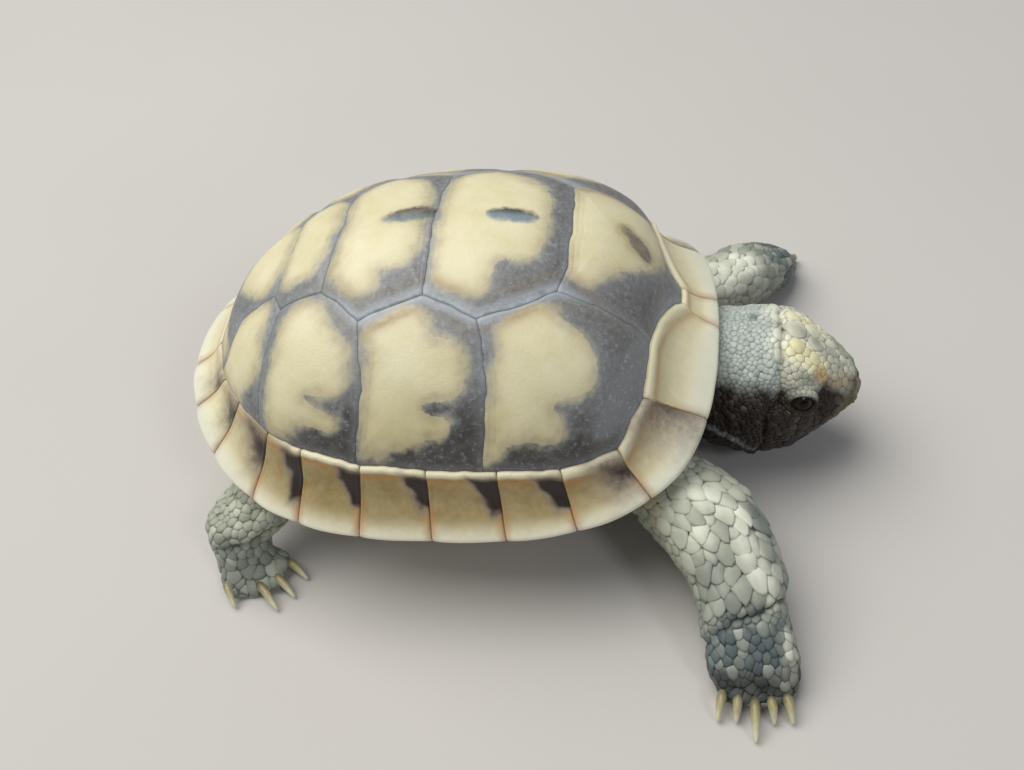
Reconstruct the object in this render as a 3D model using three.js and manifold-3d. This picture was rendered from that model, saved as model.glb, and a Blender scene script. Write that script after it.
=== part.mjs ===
// A young Mediterranean land tortoise in mid step, at life size, as a still display model.
// Millimetres. +X is the way the head points, +Y the animal's left and +Z up.
// Horny shell scutes and eyes are pieces of their own; the flesh is one form parted by thin cuts.

import * as THREE from 'three';
import { mergeVertices } from 'three/addons/utils/BufferGeometryUtils.js';
import Module from 'manifold-3d';

const wasm = await Module();
wasm.setup();

// ---------------------------------------------------------------- driving dimensions

// The carapace: a dome over a rounded plan, with a rim that rises at both ends and flares outwards.
const SHELL = {
  halfLength: 25,
  halfWidth: 21,
  frontShift: 0.9,
  frontSquareness: 3.1,
  rearSquareness: 2.3,
  taper: 0.03,
  apexHeight: 23.5,
  sideRimHeight: 5,
  frontRimHeight: 11,
  rearRimHeight: 10,
  rimRise: 3.3,
  frontFullness: 2.2,
  rearFullness: 1.9,
  sideFullness: 2.05,
  frontFlare: 4.0,
  rearFlare: 3.4,
  sideFlare: 2.2,
  flareStart: 0.76,
};

const PLATE = {
  thickness: 1.0,
  seam: 0.15,
  seamDepth: 0.16,
  crown: 0.32,
  rimCrown: 0.17,
  rimWidth: 4.2,
  sideDrop: 2.3,
  endDrop: 0.45,
  scallop: 0.16,
};

const PLASTRON = {
  height: -0.8,
  thickness: 1.2,
  bridgeStart: 10.8,
  bridgeWidth: 5.4,
  bridgeRise: 3.3,
  bridgeFront: 11.5,
  bridgeRear: -9.5,
  bridgeFade: 2.5,
  gularRise: 0.9,
  gularStart: 15,
};

const TRUNK = {
  clearance: 0.8,
  sideReach: 0.72,
  endReach: 0.66,
  wallInset: 1.3,
  bottomGap: 0.8,
  columns: 24,
  rows: 12,
};

// The neck leaves the shell along X and swings gently to the animal's right.
const HEAD = {
  centreY: -0.7,
  swingStart: 18,
  swingEnd: 29,
  partedAt: 29.2,
  partingTilt: -8,
};

const EYE = { x: 31.7, out: 4.5, z: 5.5, radius: 1.65, socketGap: 0.15, columns: 12, rows: 7 };

// FLOOR is the level the feet stand on, CUT half the gap between parted pieces of flesh and
// EDGE_STEP the longest straight stretch along a scute's border.
const FLOOR = -5;
const CUT = 0.25;
const EDGE_STEP = 2.7;
const BLOCK = 160;

const FINISH = {
  horn: { color: 0xd9cd9a, roughness: 0.45, metalness: 0 },
  rimHorn: { color: 0xb79f63, roughness: 0.5, metalness: 0 },
  bellyHorn: { color: 0xcdbf8a, roughness: 0.5, metalness: 0 },
  skin: { color: 0x9a9f8c, roughness: 0.7, metalness: 0 },
  headSkin: { color: 0x8d9290, roughness: 0.6, metalness: 0 },
  eye: { color: 0x120d0a, roughness: 0.08, metalness: 0 },
};

// ---------------------------------------------------------------- small helpers

const radians = THREE.MathUtils.degToRad;
const lerp = THREE.MathUtils.lerp;
const clamp = THREE.MathUtils.clamp;
const smooth = (x, low, high) => THREE.MathUtils.smoothstep(x, low, high);
const vec = (x, y, z) => new THREE.Vector3(x, y, z);

// A closed form from a sphere's grid: place(row, column) puts each grid point, and both end rows
// are single points. The faces are turned to point out.
function gridBody(columns, rows, place) {
  const geometry = new THREE.SphereGeometry(1, columns, rows);
  const position = geometry.getAttribute('position');
  for (let i = 0; i < position.count; i += 1) {
    const row = Math.floor(i / (columns + 1));
    const column = i % (columns + 1) % columns;
    const point = place(row, row === 0 || row === rows ? 0 : column);
    position.setXYZ(i, point.x, point.y, point.z);
  }
  geometry.deleteAttribute('normal');
  geometry.deleteAttribute('uv');
  const merged = mergeVertices(geometry, 1e-4);
  return signedVolume(merged) < 0 ? turnedInsideOut(merged) : merged;
}

function turnedInsideOut(geometry) {
  const index = geometry.getIndex();
  for (let i = 0; i < index.count; i += 3) {
    const first = index.getX(i);
    index.setX(i, index.getX(i + 1));
    index.setX(i + 1, first);
  }
  return geometry;
}

// The left side's copy of a piece made for the right.
function mirrorImage(geometry) {
  const copy = geometry.clone();
  copy.scale(1, -1, 1);
  return turnedInsideOut(copy);
}

function signedVolume(geometry) {
  const position = geometry.getAttribute('position');
  const index = geometry.getIndex();
  const [a, b, c] = [vec(0, 0, 0), vec(0, 0, 0), vec(0, 0, 0)];
  let volume = 0;
  for (let i = 0; i < index.count; i += 3) {
    a.fromBufferAttribute(position, index.getX(i));
    b.fromBufferAttribute(position, index.getX(i + 1));
    c.fromBufferAttribute(position, index.getX(i + 2));
    volume += a.dot(b.cross(c));
  }
  return volume;
}

function toSolid(geometry) {
  return new wasm.Manifold(new wasm.Mesh({
    numProp: 3,
    vertProperties: new Float32Array(geometry.getAttribute('position').array),
    triVerts: new Uint32Array(geometry.getIndex().array),
  }));
}

function toGeometry(solid) {
  const mesh = solid.getMesh();
  const geometry = new THREE.BufferGeometry();
  geometry.setAttribute('position', new THREE.BufferAttribute(mesh.vertProperties, 3));
  geometry.setIndex(new THREE.BufferAttribute(mesh.triVerts, 1));
  return geometry;
}

// Values at named stations joined by a smooth curve, read at any place between them.
function profile(stations, x) {
  const places = stations.map((station) => station[0]);
  if (x <= places[0]) {
    return stations[0].slice(1);
  }
  const last = stations.length - 1;
  if (x >= places[last]) {
    return stations[last].slice(1);
  }
  const k = places.findIndex((place, i) => x < places[i + 1]);
  const span = places[k + 1] - places[k];
  const t = (x - places[k]) / span;
  return stations[k].slice(1).map((value, j) => {
    const here = value;
    const next = stations[k + 1][j + 1];
    const before = k > 0 ? stations[k - 1][j + 1] : here;
    const after = k + 2 <= last ? stations[k + 2][j + 1] : next;
    const backSpan = k > 0 ? places[k + 1] - places[k - 1] : span;
    const frontSpan = k + 2 <= last ? places[k + 2] - places[k] : span;
    const slopeHere = ((next - before) / backSpan) * span;
    const slopeNext = ((after - here) / frontSpan) * span;
    const t2 = t * t;
    const t3 = t2 * t;
    return (2 * t3 - 3 * t2 + 1) * here + (t3 - 2 * t2 + t) * slopeHere
      + (3 * t2 - 2 * t3) * next + (t3 - t2) * slopeNext;
  });
}

// ---------------------------------------------------------------- the carapace as a chart
// Every point of the dome has chart coordinates (u, v) on a unit disc: u forwards, v to the left,
// the apex at (0, 0) and the rim on the unit circle.

function rimPlan(angle) {
  const c = Math.cos(angle);
  const s = Math.sin(angle);
  const power = lerp(SHELL.rearSquareness, SHELL.frontSquareness, 0.5 + 0.5 * c);
  const reach = (Math.abs(c) ** power + Math.abs(s) ** power) ** (-1 / power);
  return {
    x: SHELL.halfLength * reach * c,
    y: SHELL.halfWidth * reach * s * (1 + SHELL.taper * reach * c),
  };
}

function dome(u, v) {
  const radius = Math.max(Math.hypot(u, v), 1e-6);
  const c = u / radius;
  const s = v / radius;
  const front = Math.max(c, 0);
  const rear = Math.max(-c, 0);
  const polar = radius * Math.PI / 2;
  const ends = lerp(SHELL.rearFullness, SHELL.frontFullness, 0.5 + 0.5 * c);
  const fullness = lerp(ends, SHELL.sideFullness, s * s);
  const reach = (Math.abs(Math.sin(polar)) ** fullness + Math.abs(Math.cos(polar)) ** fullness)
    ** (-1 / fullness);
  const rho = reach * Math.sin(polar);
  const zeta = reach * Math.cos(polar);
  const rimHeight = SHELL.sideRimHeight
    + (SHELL.frontRimHeight - SHELL.sideRimHeight) * front ** SHELL.rimRise
    + (SHELL.rearRimHeight - SHELL.sideRimHeight) * rear ** SHELL.rimRise;
  const edge = clamp((radius - SHELL.flareStart) / (1 - SHELL.flareStart), 0, 1.2);
  const flare = SHELL.sideFlare + (SHELL.frontFlare - SHELL.sideFlare) * front ** 2
    + (SHELL.rearFlare - SHELL.sideFlare) * rear ** 2;
  const spread = (1 - flare / SHELL.halfLength) * rho + flare * edge * edge / SHELL.halfLength;
  const plan = rimPlan(Math.atan2(s, c));
  return vec(
    plan.x * spread + SHELL.frontShift * (1 - rho),
    plan.y * spread,
    rimHeight + (SHELL.apexHeight - rimHeight) * zeta,
  );
}

function domeNormal(u, v) {
  const step = 1e-3;
  const scale = Math.hypot(u, v) > 0.995 ? 0.995 / Math.hypot(u, v) : 1;
  const [a, b] = [u * scale, v * scale];
  const along = dome(a + step, b).sub(dome(a - step, b));
  const across = dome(a, b + step).sub(dome(a, b - step));
  return along.cross(across).normalize();
}

// ---------------------------------------------------------------- where the scutes meet
// Chart places on the animal's right, where v is below zero. The left is their mirror image.

const MEET = {
  v1c1: [0.651, -0.315],
  v1v2: [0.322, -0.246],
  v2c1c2: [0.151, -0.346],
  v2v3: [0.02, -0.297],
  v3c2c3: [-0.135, -0.349],
  v3v4: [-0.237, -0.243],
  v4c3c4: [-0.374, -0.266],
  v4v5: [-0.423, -0.208],
  v5side: [-0.594, -0.229],
  v5c4: [-0.757, -0.345],
  c1c2mid: [0.193, -0.532],
  c2c3mid: [-0.125, -0.545],
  c1c2low: [0.2, -0.771],
  c2c3low: [-0.181, -0.757],
  c3c4low: [-0.51, -0.588],
  v2front: [0.392, 0],
  v2frontSide: [0.372, -0.125],
  v3front: [0.006, 0],
  v4front: [-0.247, 0],
  v5front: [-0.42, 0],
};

// Each seam between two rim scutes, from the first at the nuchal to the last at the supracaudal:
// where its top end lies on the chart, and the angle of its lower end round the rim.
const RIM_SEAMS = [
  { top: [0.878, -0.045], rim: 4.9 },
  { top: [0.632, -0.478], rim: 28.2 },
  { top: [0.567, -0.633], rim: 47.2 },
  { top: [0.416, -0.72], rim: 61.2 },
  { top: [0.238, -0.764], rim: 74 },
  { top: [0.03, -0.788], rim: 88.3 },
  { top: [-0.172, -0.76], rim: 103 },
  { top: [-0.353, -0.689], rim: 116 },
  { top: [-0.476, -0.617], rim: 127.5 },
  { top: [-0.614, -0.497], rim: 142 },
  { top: [-0.728, -0.387], rim: 156 },
  { top: [-0.828, -0.191], rim: 169 },
];

const tops = RIM_SEAMS.map((seam) => seam.top);
const mirrored = (points) => points.map(([u, v]) => [u, -v]).reverse();
const bothSides = (frontMiddle, right, rearMiddle) => [
  ...(frontMiddle ? [frontMiddle] : []),
  ...right,
  ...(rearMiddle ? [rearMiddle] : []),
  ...mirrored(right),
];

const VERTEBRALS = [
  bothSides(null, [tops[0], MEET.v1c1, MEET.v1v2, MEET.v2frontSide], MEET.v2front),
  bothSides(MEET.v2front, [MEET.v2frontSide, MEET.v1v2, MEET.v2c1c2, MEET.v2v3],
    MEET.v3front),
  bothSides(MEET.v3front, [MEET.v2v3, MEET.v3c2c3, MEET.v3v4], MEET.v4front),
  bothSides(MEET.v4front, [MEET.v3v4, MEET.v4c3c4, MEET.v4v5], MEET.v5front),
  bothSides(MEET.v5front, [MEET.v4v5, MEET.v5side, MEET.v5c4, tops[11]], null),
];

const COSTALS = [
  [MEET.v1c1, MEET.v1v2, MEET.v2c1c2, MEET.c1c2mid, MEET.c1c2low, tops[4], tops[3], tops[2], tops[1]],
  [MEET.v2c1c2, MEET.v2v3, MEET.v3c2c3, MEET.c2c3mid, MEET.c2c3low, tops[5], MEET.c1c2low,
    MEET.c1c2mid],
  [MEET.v3c2c3, MEET.v3v4, MEET.v4c3c4, MEET.c3c4low, tops[8], tops[7], tops[6], MEET.c2c3low,
    MEET.c2c3mid],
  [MEET.v4c3c4, MEET.v4v5, MEET.v5side, MEET.v5c4, tops[10], tops[9], MEET.c3c4low],
];

const topExtras = { 0: [MEET.v1c1], 4: [MEET.c1c2low], 6: [MEET.c2c3low], 8: [MEET.c3c4low],
  10: [MEET.v5c4] };

const rimPoint = (degrees) => [Math.cos(radians(degrees)), -Math.sin(radians(degrees))];

// The corners of rim scute k of the right side, with its lower edge as an arc.
function marginalCorners(k) {
  const arc = [];
  const steps = 3;
  for (let i = 0; i <= steps; i += 1) {
    arc.push(rimPoint(lerp(RIM_SEAMS[k + 1].rim, RIM_SEAMS[k].rim, i / steps)));
  }
  return [tops[k], ...(topExtras[k] ?? []), tops[k + 1], ...arc];
}

function endRimCorners(seam, middleDegrees) {
  const side = [seam.top, rimPoint(seam.rim)];
  return [side[0], side[1], rimPoint(middleDegrees), ...mirrored([side[0], side[1]])];
}

// How far from the top line (0) to the rim (1) a chart point lies, and its place along its scute.
function rimPlace(u, v) {
  const angle = Math.atan2(Math.abs(v), u) * 180 / Math.PI;
  const radius = Math.hypot(u, v);
  const topAngles = tops.map(([a, b]) => Math.atan2(Math.abs(b), a) * 180 / Math.PI);
  const topRadii = tops.map(([a, b]) => Math.hypot(a, b));
  const top = profile([[-1, topRadii[0]], ...topAngles.map((a, i) => [a, topRadii[i]]),
    [181, topRadii[11]]], angle)[0];
  const down = clamp((radius - top) / (1 - top), 0, 1);
  const seams = RIM_SEAMS.map((seam, i) => lerp(topAngles[i], seam.rim, down));
  const bounds = [-seams[0], ...seams, 360 - seams[11]];
  const k = clamp(bounds.findIndex((bound) => angle < bound) - 1, 0, 12);
  const along = (angle - bounds[k]) / (bounds[k + 1] - bounds[k]);
  return { down, along, angle };
}

// The inward end of the rim's underside, below and inside the rim at the same angle.
function underRim(u, v) {
  const length = Math.hypot(u, v);
  const edge = dome(u / length, v / length);
  const inward = vec(-edge.x, -edge.y * 1.4, 0).normalize();
  const sideways = 1 - smooth(Math.abs(u / length), 0.45, 0.85);
  edge.addScaledVector(inward, PLATE.rimWidth);
  edge.z -= lerp(PLATE.endDrop, PLATE.sideDrop, sideways);
  return edge;
}

function scallop(u, v) {
  const { down, along, angle } = rimPlace(u, v);
  const ends = 1 - smooth(angle, 50, 75) + smooth(angle, 105, 125);
  const bulge = Math.sin(Math.PI * clamp(along, 0, 1) ** 1.5);
  return PLATE.scallop * ends * bulge * down ** 3;
}

// ---------------------------------------------------------------- one scute as a solid

// Points round a closed outline with each corner among them. An edge is cut by its own length alone,
// so that the two scutes on a seam share its points. measure puts a corner in space.
function walk(corners, measure) {
  return corners.flatMap((corner, i) => {
    const next = corners[(i + 1) % corners.length];
    const steps = Math.max(1, Math.round(measure(...corner).distanceTo(measure(...next)) / EDGE_STEP));
    return Array.from({ length: steps }, (_, j) => [
      lerp(corner[0], next[0], j / steps),
      lerp(corner[1], next[1], j / steps),
    ]);
  });
}

function middle(points) {
  const sum = points.reduce(([a, b], [u, v]) => [a + u, b + v], [0, 0]);
  return [sum[0] / points.length, sum[1] / points.length];
}

// Which way round an outline runs: 1 where its inside is on the left of each edge, seen from +Z.
function turning(points) {
  const area = points.reduce((sum, [a, b], i) => {
    const [c, d] = points[(i + 1) % points.length];
    return sum + a * d - b * c;
  }, 0);
  return Math.sign(area);
}

// The shift that draws a border point in from both of its edges by the seam's half width. side is
// the way up from the surface, turned over where the outline runs the other way round.
function seamShift(before, here, after, side, width) {
  const first = side.clone().cross(here.clone().sub(before)).normalize();
  const second = side.clone().cross(after.clone().sub(here)).normalize();
  return first.clone().add(second).multiplyScalar(width / Math.max(1 + first.dot(second), 0.5));
}

// A scute over an outline, crowned in the middle and sunk at its seams. With grow above zero it is a
// fatter copy that only trims what comes near it.
function scute(corners, { rings, crown, thickness, place, measure, grow }) {
  const border = walk(corners, measure);
  const centre = middle(border);
  const way = turning(border);
  const points = border.map(([u, v]) => place(u, v, thickness + grow));
  const shifts = points.map((point, i) => seamShift(
    points[(i + points.length - 1) % points.length].outer,
    point.outer,
    points[(i + 1) % points.length].outer,
    point.up.clone().multiplyScalar(way),
    PLATE.seam - 1.6 * grow,
  ));
  const rows = rings + 2;
  return gridBody(border.length, rows, (row, column) => {
    const outside = row <= rings;
    const share = outside ? (row / rings) ** 0.8 : rows - row;
    const at = (i) => lerp(centre[i], border[column][i], share);
    const point = place(at(0), at(1), thickness + grow);
    const onBorder = share >= 1;
    const rise = grow + (onBorder ? -PLATE.seamDepth : crown * (1 - share ** 3));
    const result = outside ? point.outer.addScaledVector(point.out, rise) : point.inner;
    return onBorder ? result.add(shifts[column]) : result;
  });
}

// The outer and inner points over a chart place, the way up there, and the way out of the shell.
function domePlace(u, v, thickness) {
  const outer = dome(u, v);
  const up = domeNormal(u, v);
  return { outer, up, out: up, inner: outer.clone().addScaledVector(up, -thickness) };
}

// A rim scute's wall starts as thin as the dome's and widens to the whole underside of the rim.
function rimScutePlace(u, v, thickness) {
  const { outer, up, inner } = domePlace(u, v, thickness);
  const { down } = rimPlace(u, v);
  const plan = vec(outer.x, outer.y, 0).normalize();
  outer.addScaledVector(plan, scallop(u, v));
  inner.lerp(underRim(u, v).addScaledVector(up, PLATE.thickness - thickness), down ** 1.5);
  return { outer, up, out: up, inner };
}

const DOME_SCUTE = {
  rings: 3, crown: PLATE.crown, thickness: PLATE.thickness, place: domePlace, measure: dome,
};
const RIM_SCUTE = {
  rings: 2, crown: PLATE.rimCrown, thickness: PLATE.thickness, place: rimScutePlace, measure: dome,
};

// Every carapace scute, or with grow above zero a fatter copy that only trims what comes near it.
function carapaceScutes(grow) {
  const make = (corners, kind) => scute(corners, { ...kind, grow });
  const middles = VERTEBRALS.map((corners, i) => ({
    name: `vertebral_${i + 1}`,
    geometry: make(corners, DOME_SCUTE),
  }));
  const ends = [
    { name: 'nuchal', geometry: make(endRimCorners(RIM_SEAMS[0], 0), RIM_SCUTE) },
    { name: 'supracaudal', geometry: make(endRimCorners(RIM_SEAMS[11], 180), RIM_SCUTE) },
  ];
  const sides = [
    ...COSTALS.map((corners, i) => ['costal', i, make(corners, DOME_SCUTE)]),
    ...RIM_SEAMS.slice(1).map((_, i) => ['marginal', i, make(marginalCorners(i), RIM_SCUTE)]),
  ];
  return [...middles, ...ends, ...sides.flatMap(([kind, i, geometry]) => (
    pair(geometry, (side) => `${kind}_${side}_${i + 1}`)
  ))];
}

function pair(geometry, nameFor) {
  return [
    { name: nameFor('right'), geometry },
    { name: nameFor('left'), geometry: mirrorImage(geometry) },
  ];
}

// ---------------------------------------------------------------- the plastron

// The plastron's outline on the animal's right, from the throat to the tail, in millimetres.
const BELLY = {
  gularTip: [19.3, -3.5],
  gularHumeral: [17.3, -7.2],
  humeralPectoral: [12.2, -12.6],
  axilla: [11.2, -15.2],
  pectoralAbdominal: [4.5, -15.9],
  inguinal: [-9.2, -15],
  abdominalFemoral: [-10.2, -12.4],
  femoralAnal: [-16.4, -8.9],
  analTip: [-20, -4],
};
const BELLY_MIDLINE = {
  gularFront: 18.9,
  gularHumeral: 15.2,
  humeralPectoral: 9.6,
  pectoralAbdominal: 6.2,
  abdominalFemoral: -7.4,
  femoralAnal: -13.2,
  analNotch: -18.2,
};
const midPoint = (name) => [BELLY_MIDLINE[name], 0];
const BELLY_SCUTES = {
  gular: [midPoint('gularFront'), BELLY.gularTip, BELLY.gularHumeral, midPoint('gularHumeral')],
  humeral: [midPoint('gularHumeral'), BELLY.gularHumeral, BELLY.humeralPectoral,
    midPoint('humeralPectoral')],
  pectoral: [midPoint('humeralPectoral'), BELLY.humeralPectoral, BELLY.axilla,
    BELLY.pectoralAbdominal, midPoint('pectoralAbdominal')],
  abdominal: [midPoint('pectoralAbdominal'), BELLY.pectoralAbdominal, BELLY.inguinal,
    BELLY.abdominalFemoral, midPoint('abdominalFemoral')],
  femoral: [midPoint('abdominalFemoral'), BELLY.abdominalFemoral, BELLY.femoralAnal,
    midPoint('femoralAnal')],
  anal: [midPoint('femoralAnal'), BELLY.femoralAnal, BELLY.analTip, midPoint('analNotch')],
};

function bellyHeight(x, y) {
  const bridge = smooth(x, PLASTRON.bridgeRear - PLASTRON.bridgeFade, PLASTRON.bridgeRear)
    * (1 - smooth(x, PLASTRON.bridgeFront, PLASTRON.bridgeFront + PLASTRON.bridgeFade));
  const out = clamp((Math.abs(y) - PLASTRON.bridgeStart) / PLASTRON.bridgeWidth, 0, 1);
  const rise = PLASTRON.bridgeRise * out ** 1.4 * lerp(0.35, 1, bridge);
  return PLASTRON.height + rise + PLASTRON.gularRise * smooth(x, PLASTRON.gularStart, 21);
}

function bellyPlace(x, y, thickness) {
  const outer = vec(x, y, bellyHeight(x, y));
  return { outer, up: vec(0, 0, 1), out: vec(0, 0, -1), inner: vec(x, y, outer.z + thickness) };
}

const BELLY_SCUTE = {
  rings: 2,
  crown: 0,
  thickness: PLASTRON.thickness,
  place: bellyPlace,
  measure: (x, y) => vec(x, y, 0),
};

function bellyScutes(grow) {
  return Object.entries(BELLY_SCUTES).flatMap(([name, corners]) => (
    pair(scute(corners, { ...BELLY_SCUTE, grow }), (side) => `${name}_${side}`)
  ));
}

// ---------------------------------------------------------------- the flesh

// The trunk fills the shell, with a standing wall of skin inside its front and rear openings.
function trunkForm(grow) {
  const shrink = (amount) => amount - grow;
  const roofRows = 7;
  const wallRows = 3;
  return gridBody(TRUNK.columns, TRUNK.rows, (row, column) => {
    const angle = (column / TRUNK.columns) * 2 * Math.PI;
    const c = Math.cos(angle);
    const s = Math.sin(angle);
    const ends = smooth(Math.abs(c), 0.55, 0.9);
    const reach = lerp(TRUNK.sideReach, TRUNK.endReach, ends);
    const roof = (share) => {
      const [u, v] = [reach * share * c, reach * share * s];
      const depth = shrink(PLATE.thickness + TRUNK.clearance);
      return dome(u, v).addScaledVector(domeNormal(u, v), -depth);
    };
    const edge = roof(1);
    const inward = vec(-edge.x, -edge.y, 0).normalize();
    const foot = underRim(c, s).addScaledVector(inward, shrink(TRUNK.wallInset));
    const wall = vec(edge.x, edge.y, 0).lerp(vec(foot.x, foot.y, 0), 1 - ends);
    const floor = (x, y) => bellyHeight(x, y) + PLASTRON.thickness + shrink(TRUNK.bottomGap);
    if (row <= roofRows) {
      return roof(row / roofRows);
    }
    if (row <= roofRows + wallRows) {
      const share = (row - roofRows) / wallRows;
      const side = vec(edge.x, edge.y, 0).lerp(wall, share).addScaledVector(inward, share * 0.6);
      return vec(side.x, side.y, lerp(edge.z, floor(side.x, side.y), share));
    }
    const share = (TRUNK.rows - row) / (TRUNK.rows - roofRows - wallRows);
    const last = wall.clone().addScaledVector(inward, 0.6).multiplyScalar(share);
    return vec(last.x, last.y, floor(last.x, last.y));
  });
}

// A limb: an oval section that is carried along a smooth line, closed by a round end at each end.
// Each station is [x, y, z, half width, half height].
function limb(stations, { columns, rows, startCap, endCap, squareness = 2 }) {
  const line = new THREE.CatmullRomCurve3(stations.map(([x, y, z]) => vec(x, y, z)), false,
    'centripetal');
  const sizes = stations.map((station, i) => [i / (stations.length - 1), station[3], station[4]]);
  return gridBody(columns, rows, (row, column) => {
    const s = 0.5 - 0.5 * Math.cos((Math.PI * row) / rows);
    const centre = line.getPoint(s);
    const along = line.getTangent(clamp(s, 0.001, 0.999));
    const side = along.clone().cross(vec(0, 0, 1)).normalize();
    const up = side.clone().cross(along).normalize();
    const [width, height] = profile(sizes, s);
    const round = Math.min(roundEnd(s / startCap), roundEnd((1 - s) / endCap));
    const angle = (column / columns) * 2 * Math.PI;
    const c = Math.cos(angle);
    const t = Math.sin(angle);
    const fill = (Math.abs(c) ** squareness + Math.abs(t) ** squareness) ** (-1 / squareness);
    return centre.addScaledVector(side, width * round * fill * c)
      .addScaledVector(up, height * round * fill * t);
  });
}

// A standing column of level sections, turned to the way the foot points.
function pillar(stations, heading) {
  const [columns, rows] = [14, 9];
  const places = stations.map((station, i) => [i / (stations.length - 1), ...station]);
  const ahead = vec(Math.cos(radians(heading)), Math.sin(radians(heading)), 0);
  const aside = vec(-ahead.y, ahead.x, 0);
  return gridBody(columns, rows, (row, column) => {
    const s = row / rows;
    const [x, y, z, length, width] = profile(places, s);
    const angle = (column / columns) * 2 * Math.PI;
    const round = Math.min(roundEnd(s / 0.3), roundEnd((1 - s) / 0.12));
    return vec(x, y, z)
      .addScaledVector(ahead, length * round * Math.cos(angle))
      .addScaledVector(aside, width * round * Math.sin(angle));
  });
}

function roundEnd(share) {
  return Math.sqrt(Math.max(0, 1 - (1 - clamp(share, 0, 1)) ** 2));
}

// Neck and head together. Each station is [x, top, bottom, half width, squareness].
const NECK_AND_HEAD = [
  [9, 8.6, 2.2, 3.6, 2],
  [14, 9.4, 1.9, 4.7, 2],
  [18.6, 9.9, 1.5, 5.6, 2.05],
  [21, 10, 0, 6.1, 2.05],
  [22.8, 10.1, -1.6, 6.4, 2.1],
  [25, 10.1, -2.6, 6.6, 2.1],
  [28, 10.4, -3.3, 6.8, 2.1],
  [29.3, 10.2, -3.5, 6.6, 2.1],
  [30.6, 10.2, -3.4, 6.6, 2.15],
  [32, 9.7, -2.7, 6.2, 2.2],
  [33.5, 8.7, -1.6, 5.4, 2.25],
  [35, 7.4, -0.5, 4.4, 2.3],
  [36.3, 6.1, 0.4, 3.4, 2.35],
  [37.3, 5, 1, 2.5, 2.35],
  [37.9, 4.2, 1.6, 1.6, 2.3],
  [38.2, 3.4, 2.4, 0.6, 2],
];

function headCentre(x) {
  return HEAD.centreY * smooth(x, HEAD.swingStart, HEAD.swingEnd);
}

function neckAndHead() {
  const [columns, rows] = [20, 19];
  const [start, end] = [NECK_AND_HEAD[0][0], NECK_AND_HEAD.at(-1)[0]];
  return gridBody(columns, rows, (row, column) => {
    const s = row / rows;
    const x = lerp(start, end, 1 - (1 - s) ** 1.25);
    const [top, bottom, width, power] = profile(NECK_AND_HEAD, x);
    const angle = (column / columns) * 2 * Math.PI;
    const c = Math.cos(angle);
    const t = Math.sin(angle);
    const fill = (Math.abs(c) ** power + Math.abs(t) ** power) ** (-1 / power);
    const closed = row === 0 || row === rows ? 0 : 1;
    const half = (top - bottom) / 2;
    return vec(
      x,
      headCentre(x) + width * fill * c * closed,
      (top + bottom) / 2 + half * fill * t * closed,
    );
  });
}

const eyePlace = (side) => vec(EYE.x, HEAD.centreY + side * EYE.out, EYE.z);

function ball(centre, radius) {
  return gridBody(EYE.columns, EYE.rows, (row, column) => {
    const polar = (Math.PI * row) / EYE.rows;
    const turn = (2 * Math.PI * column) / EYE.columns;
    return vec(
      centre.x + radius * Math.sin(polar) * Math.cos(turn),
      centre.y + radius * Math.sin(polar) * Math.sin(turn),
      centre.z + radius * Math.cos(polar),
    );
  });
}

// Legs, each from inside the trunk to the toes: [x, y, z, half width, half height].
const LEGS = {
  foreleg_right: [
    [15, -8.5, 4.2, 2.9, 2.9],
    [19.5, -12.6, 3, 3.9, 3.2],
    [23.4, -16.2, 1.9, 4.4, 3.3],
    [25.4, -19.6, 0.7, 4.1, 3.1],
    [26.1, -22.9, -0.6, 3.6, 2.8],
    [26.6, -25.2, -1.8, 3.6, 2.7],
    [27, -27.6, -3, 3.7, 2.6],
    [27, -30, -3.6, 3.1, 2],
  ],
  foreleg_left: [
    [15, 9, 4.2, 2.9, 2.9],
    [20, 12.4, 2.6, 3.4, 2.9],
    [24.2, 14.9, 1.2, 3.6, 3],
    [27.3, 17.6, 0.1, 3.7, 3],
    [29.6, 20.7, -1, 3.6, 2.9],
    [31, 22.9, -2, 3.6, 2.8],
    [31.8, 25, -3, 3.4, 2.6],
    [32.3, 26.8, -3.6, 2.9, 2],
  ],
  hindleg_right: [
    [-11, -7, 3.4, 3, 2.8],
    [-14.8, -10.6, 2.4, 3.6, 3.2],
    [-18, -13.9, 1.3, 3.5, 3.1],
    [-20, -16.3, 0, 2.9, 2.6],
  ],
  hindleg_left: [
    [-11, 7, 3.4, 3, 2.8],
    [-15.2, 10.2, 2.4, 3.6, 3.2],
    [-18.8, 13, 1.3, 3.5, 3.1],
    [-21.2, 15.1, 0, 2.9, 2.6],
  ],
};

// A hind leg's shank and foot stand like a pillar on a flat sole: [x, y, z, half length, half width]
// with the length along the way the foot points.
const PILLARS = {
  hindleg_right: [
    [-19, -15.2, 3.3, 2.6, 2.6],
    [-19.8, -16, 1.4, 3, 3],
    [-20.2, -16.6, -0.6, 2.8, 2.9],
    [-19.8, -17.3, -2.4, 2.7, 2.9],
    [-19.2, -17.9, -4, 2.8, 3],
    [-19.1, -18, -5.6, 2.6, 2.8],
  ],
  hindleg_left: [
    [-20, 13.8, 3.3, 2.6, 2.6],
    [-21.1, 14.8, 1.4, 3, 3],
    [-21.6, 15.5, -0.6, 2.8, 2.9],
    [-21.2, 16.2, -2.4, 2.7, 2.9],
    [-20.6, 16.8, -4, 2.8, 3],
    [-20.5, 16.9, -5.6, 2.6, 2.8],
  ],
};

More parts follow.
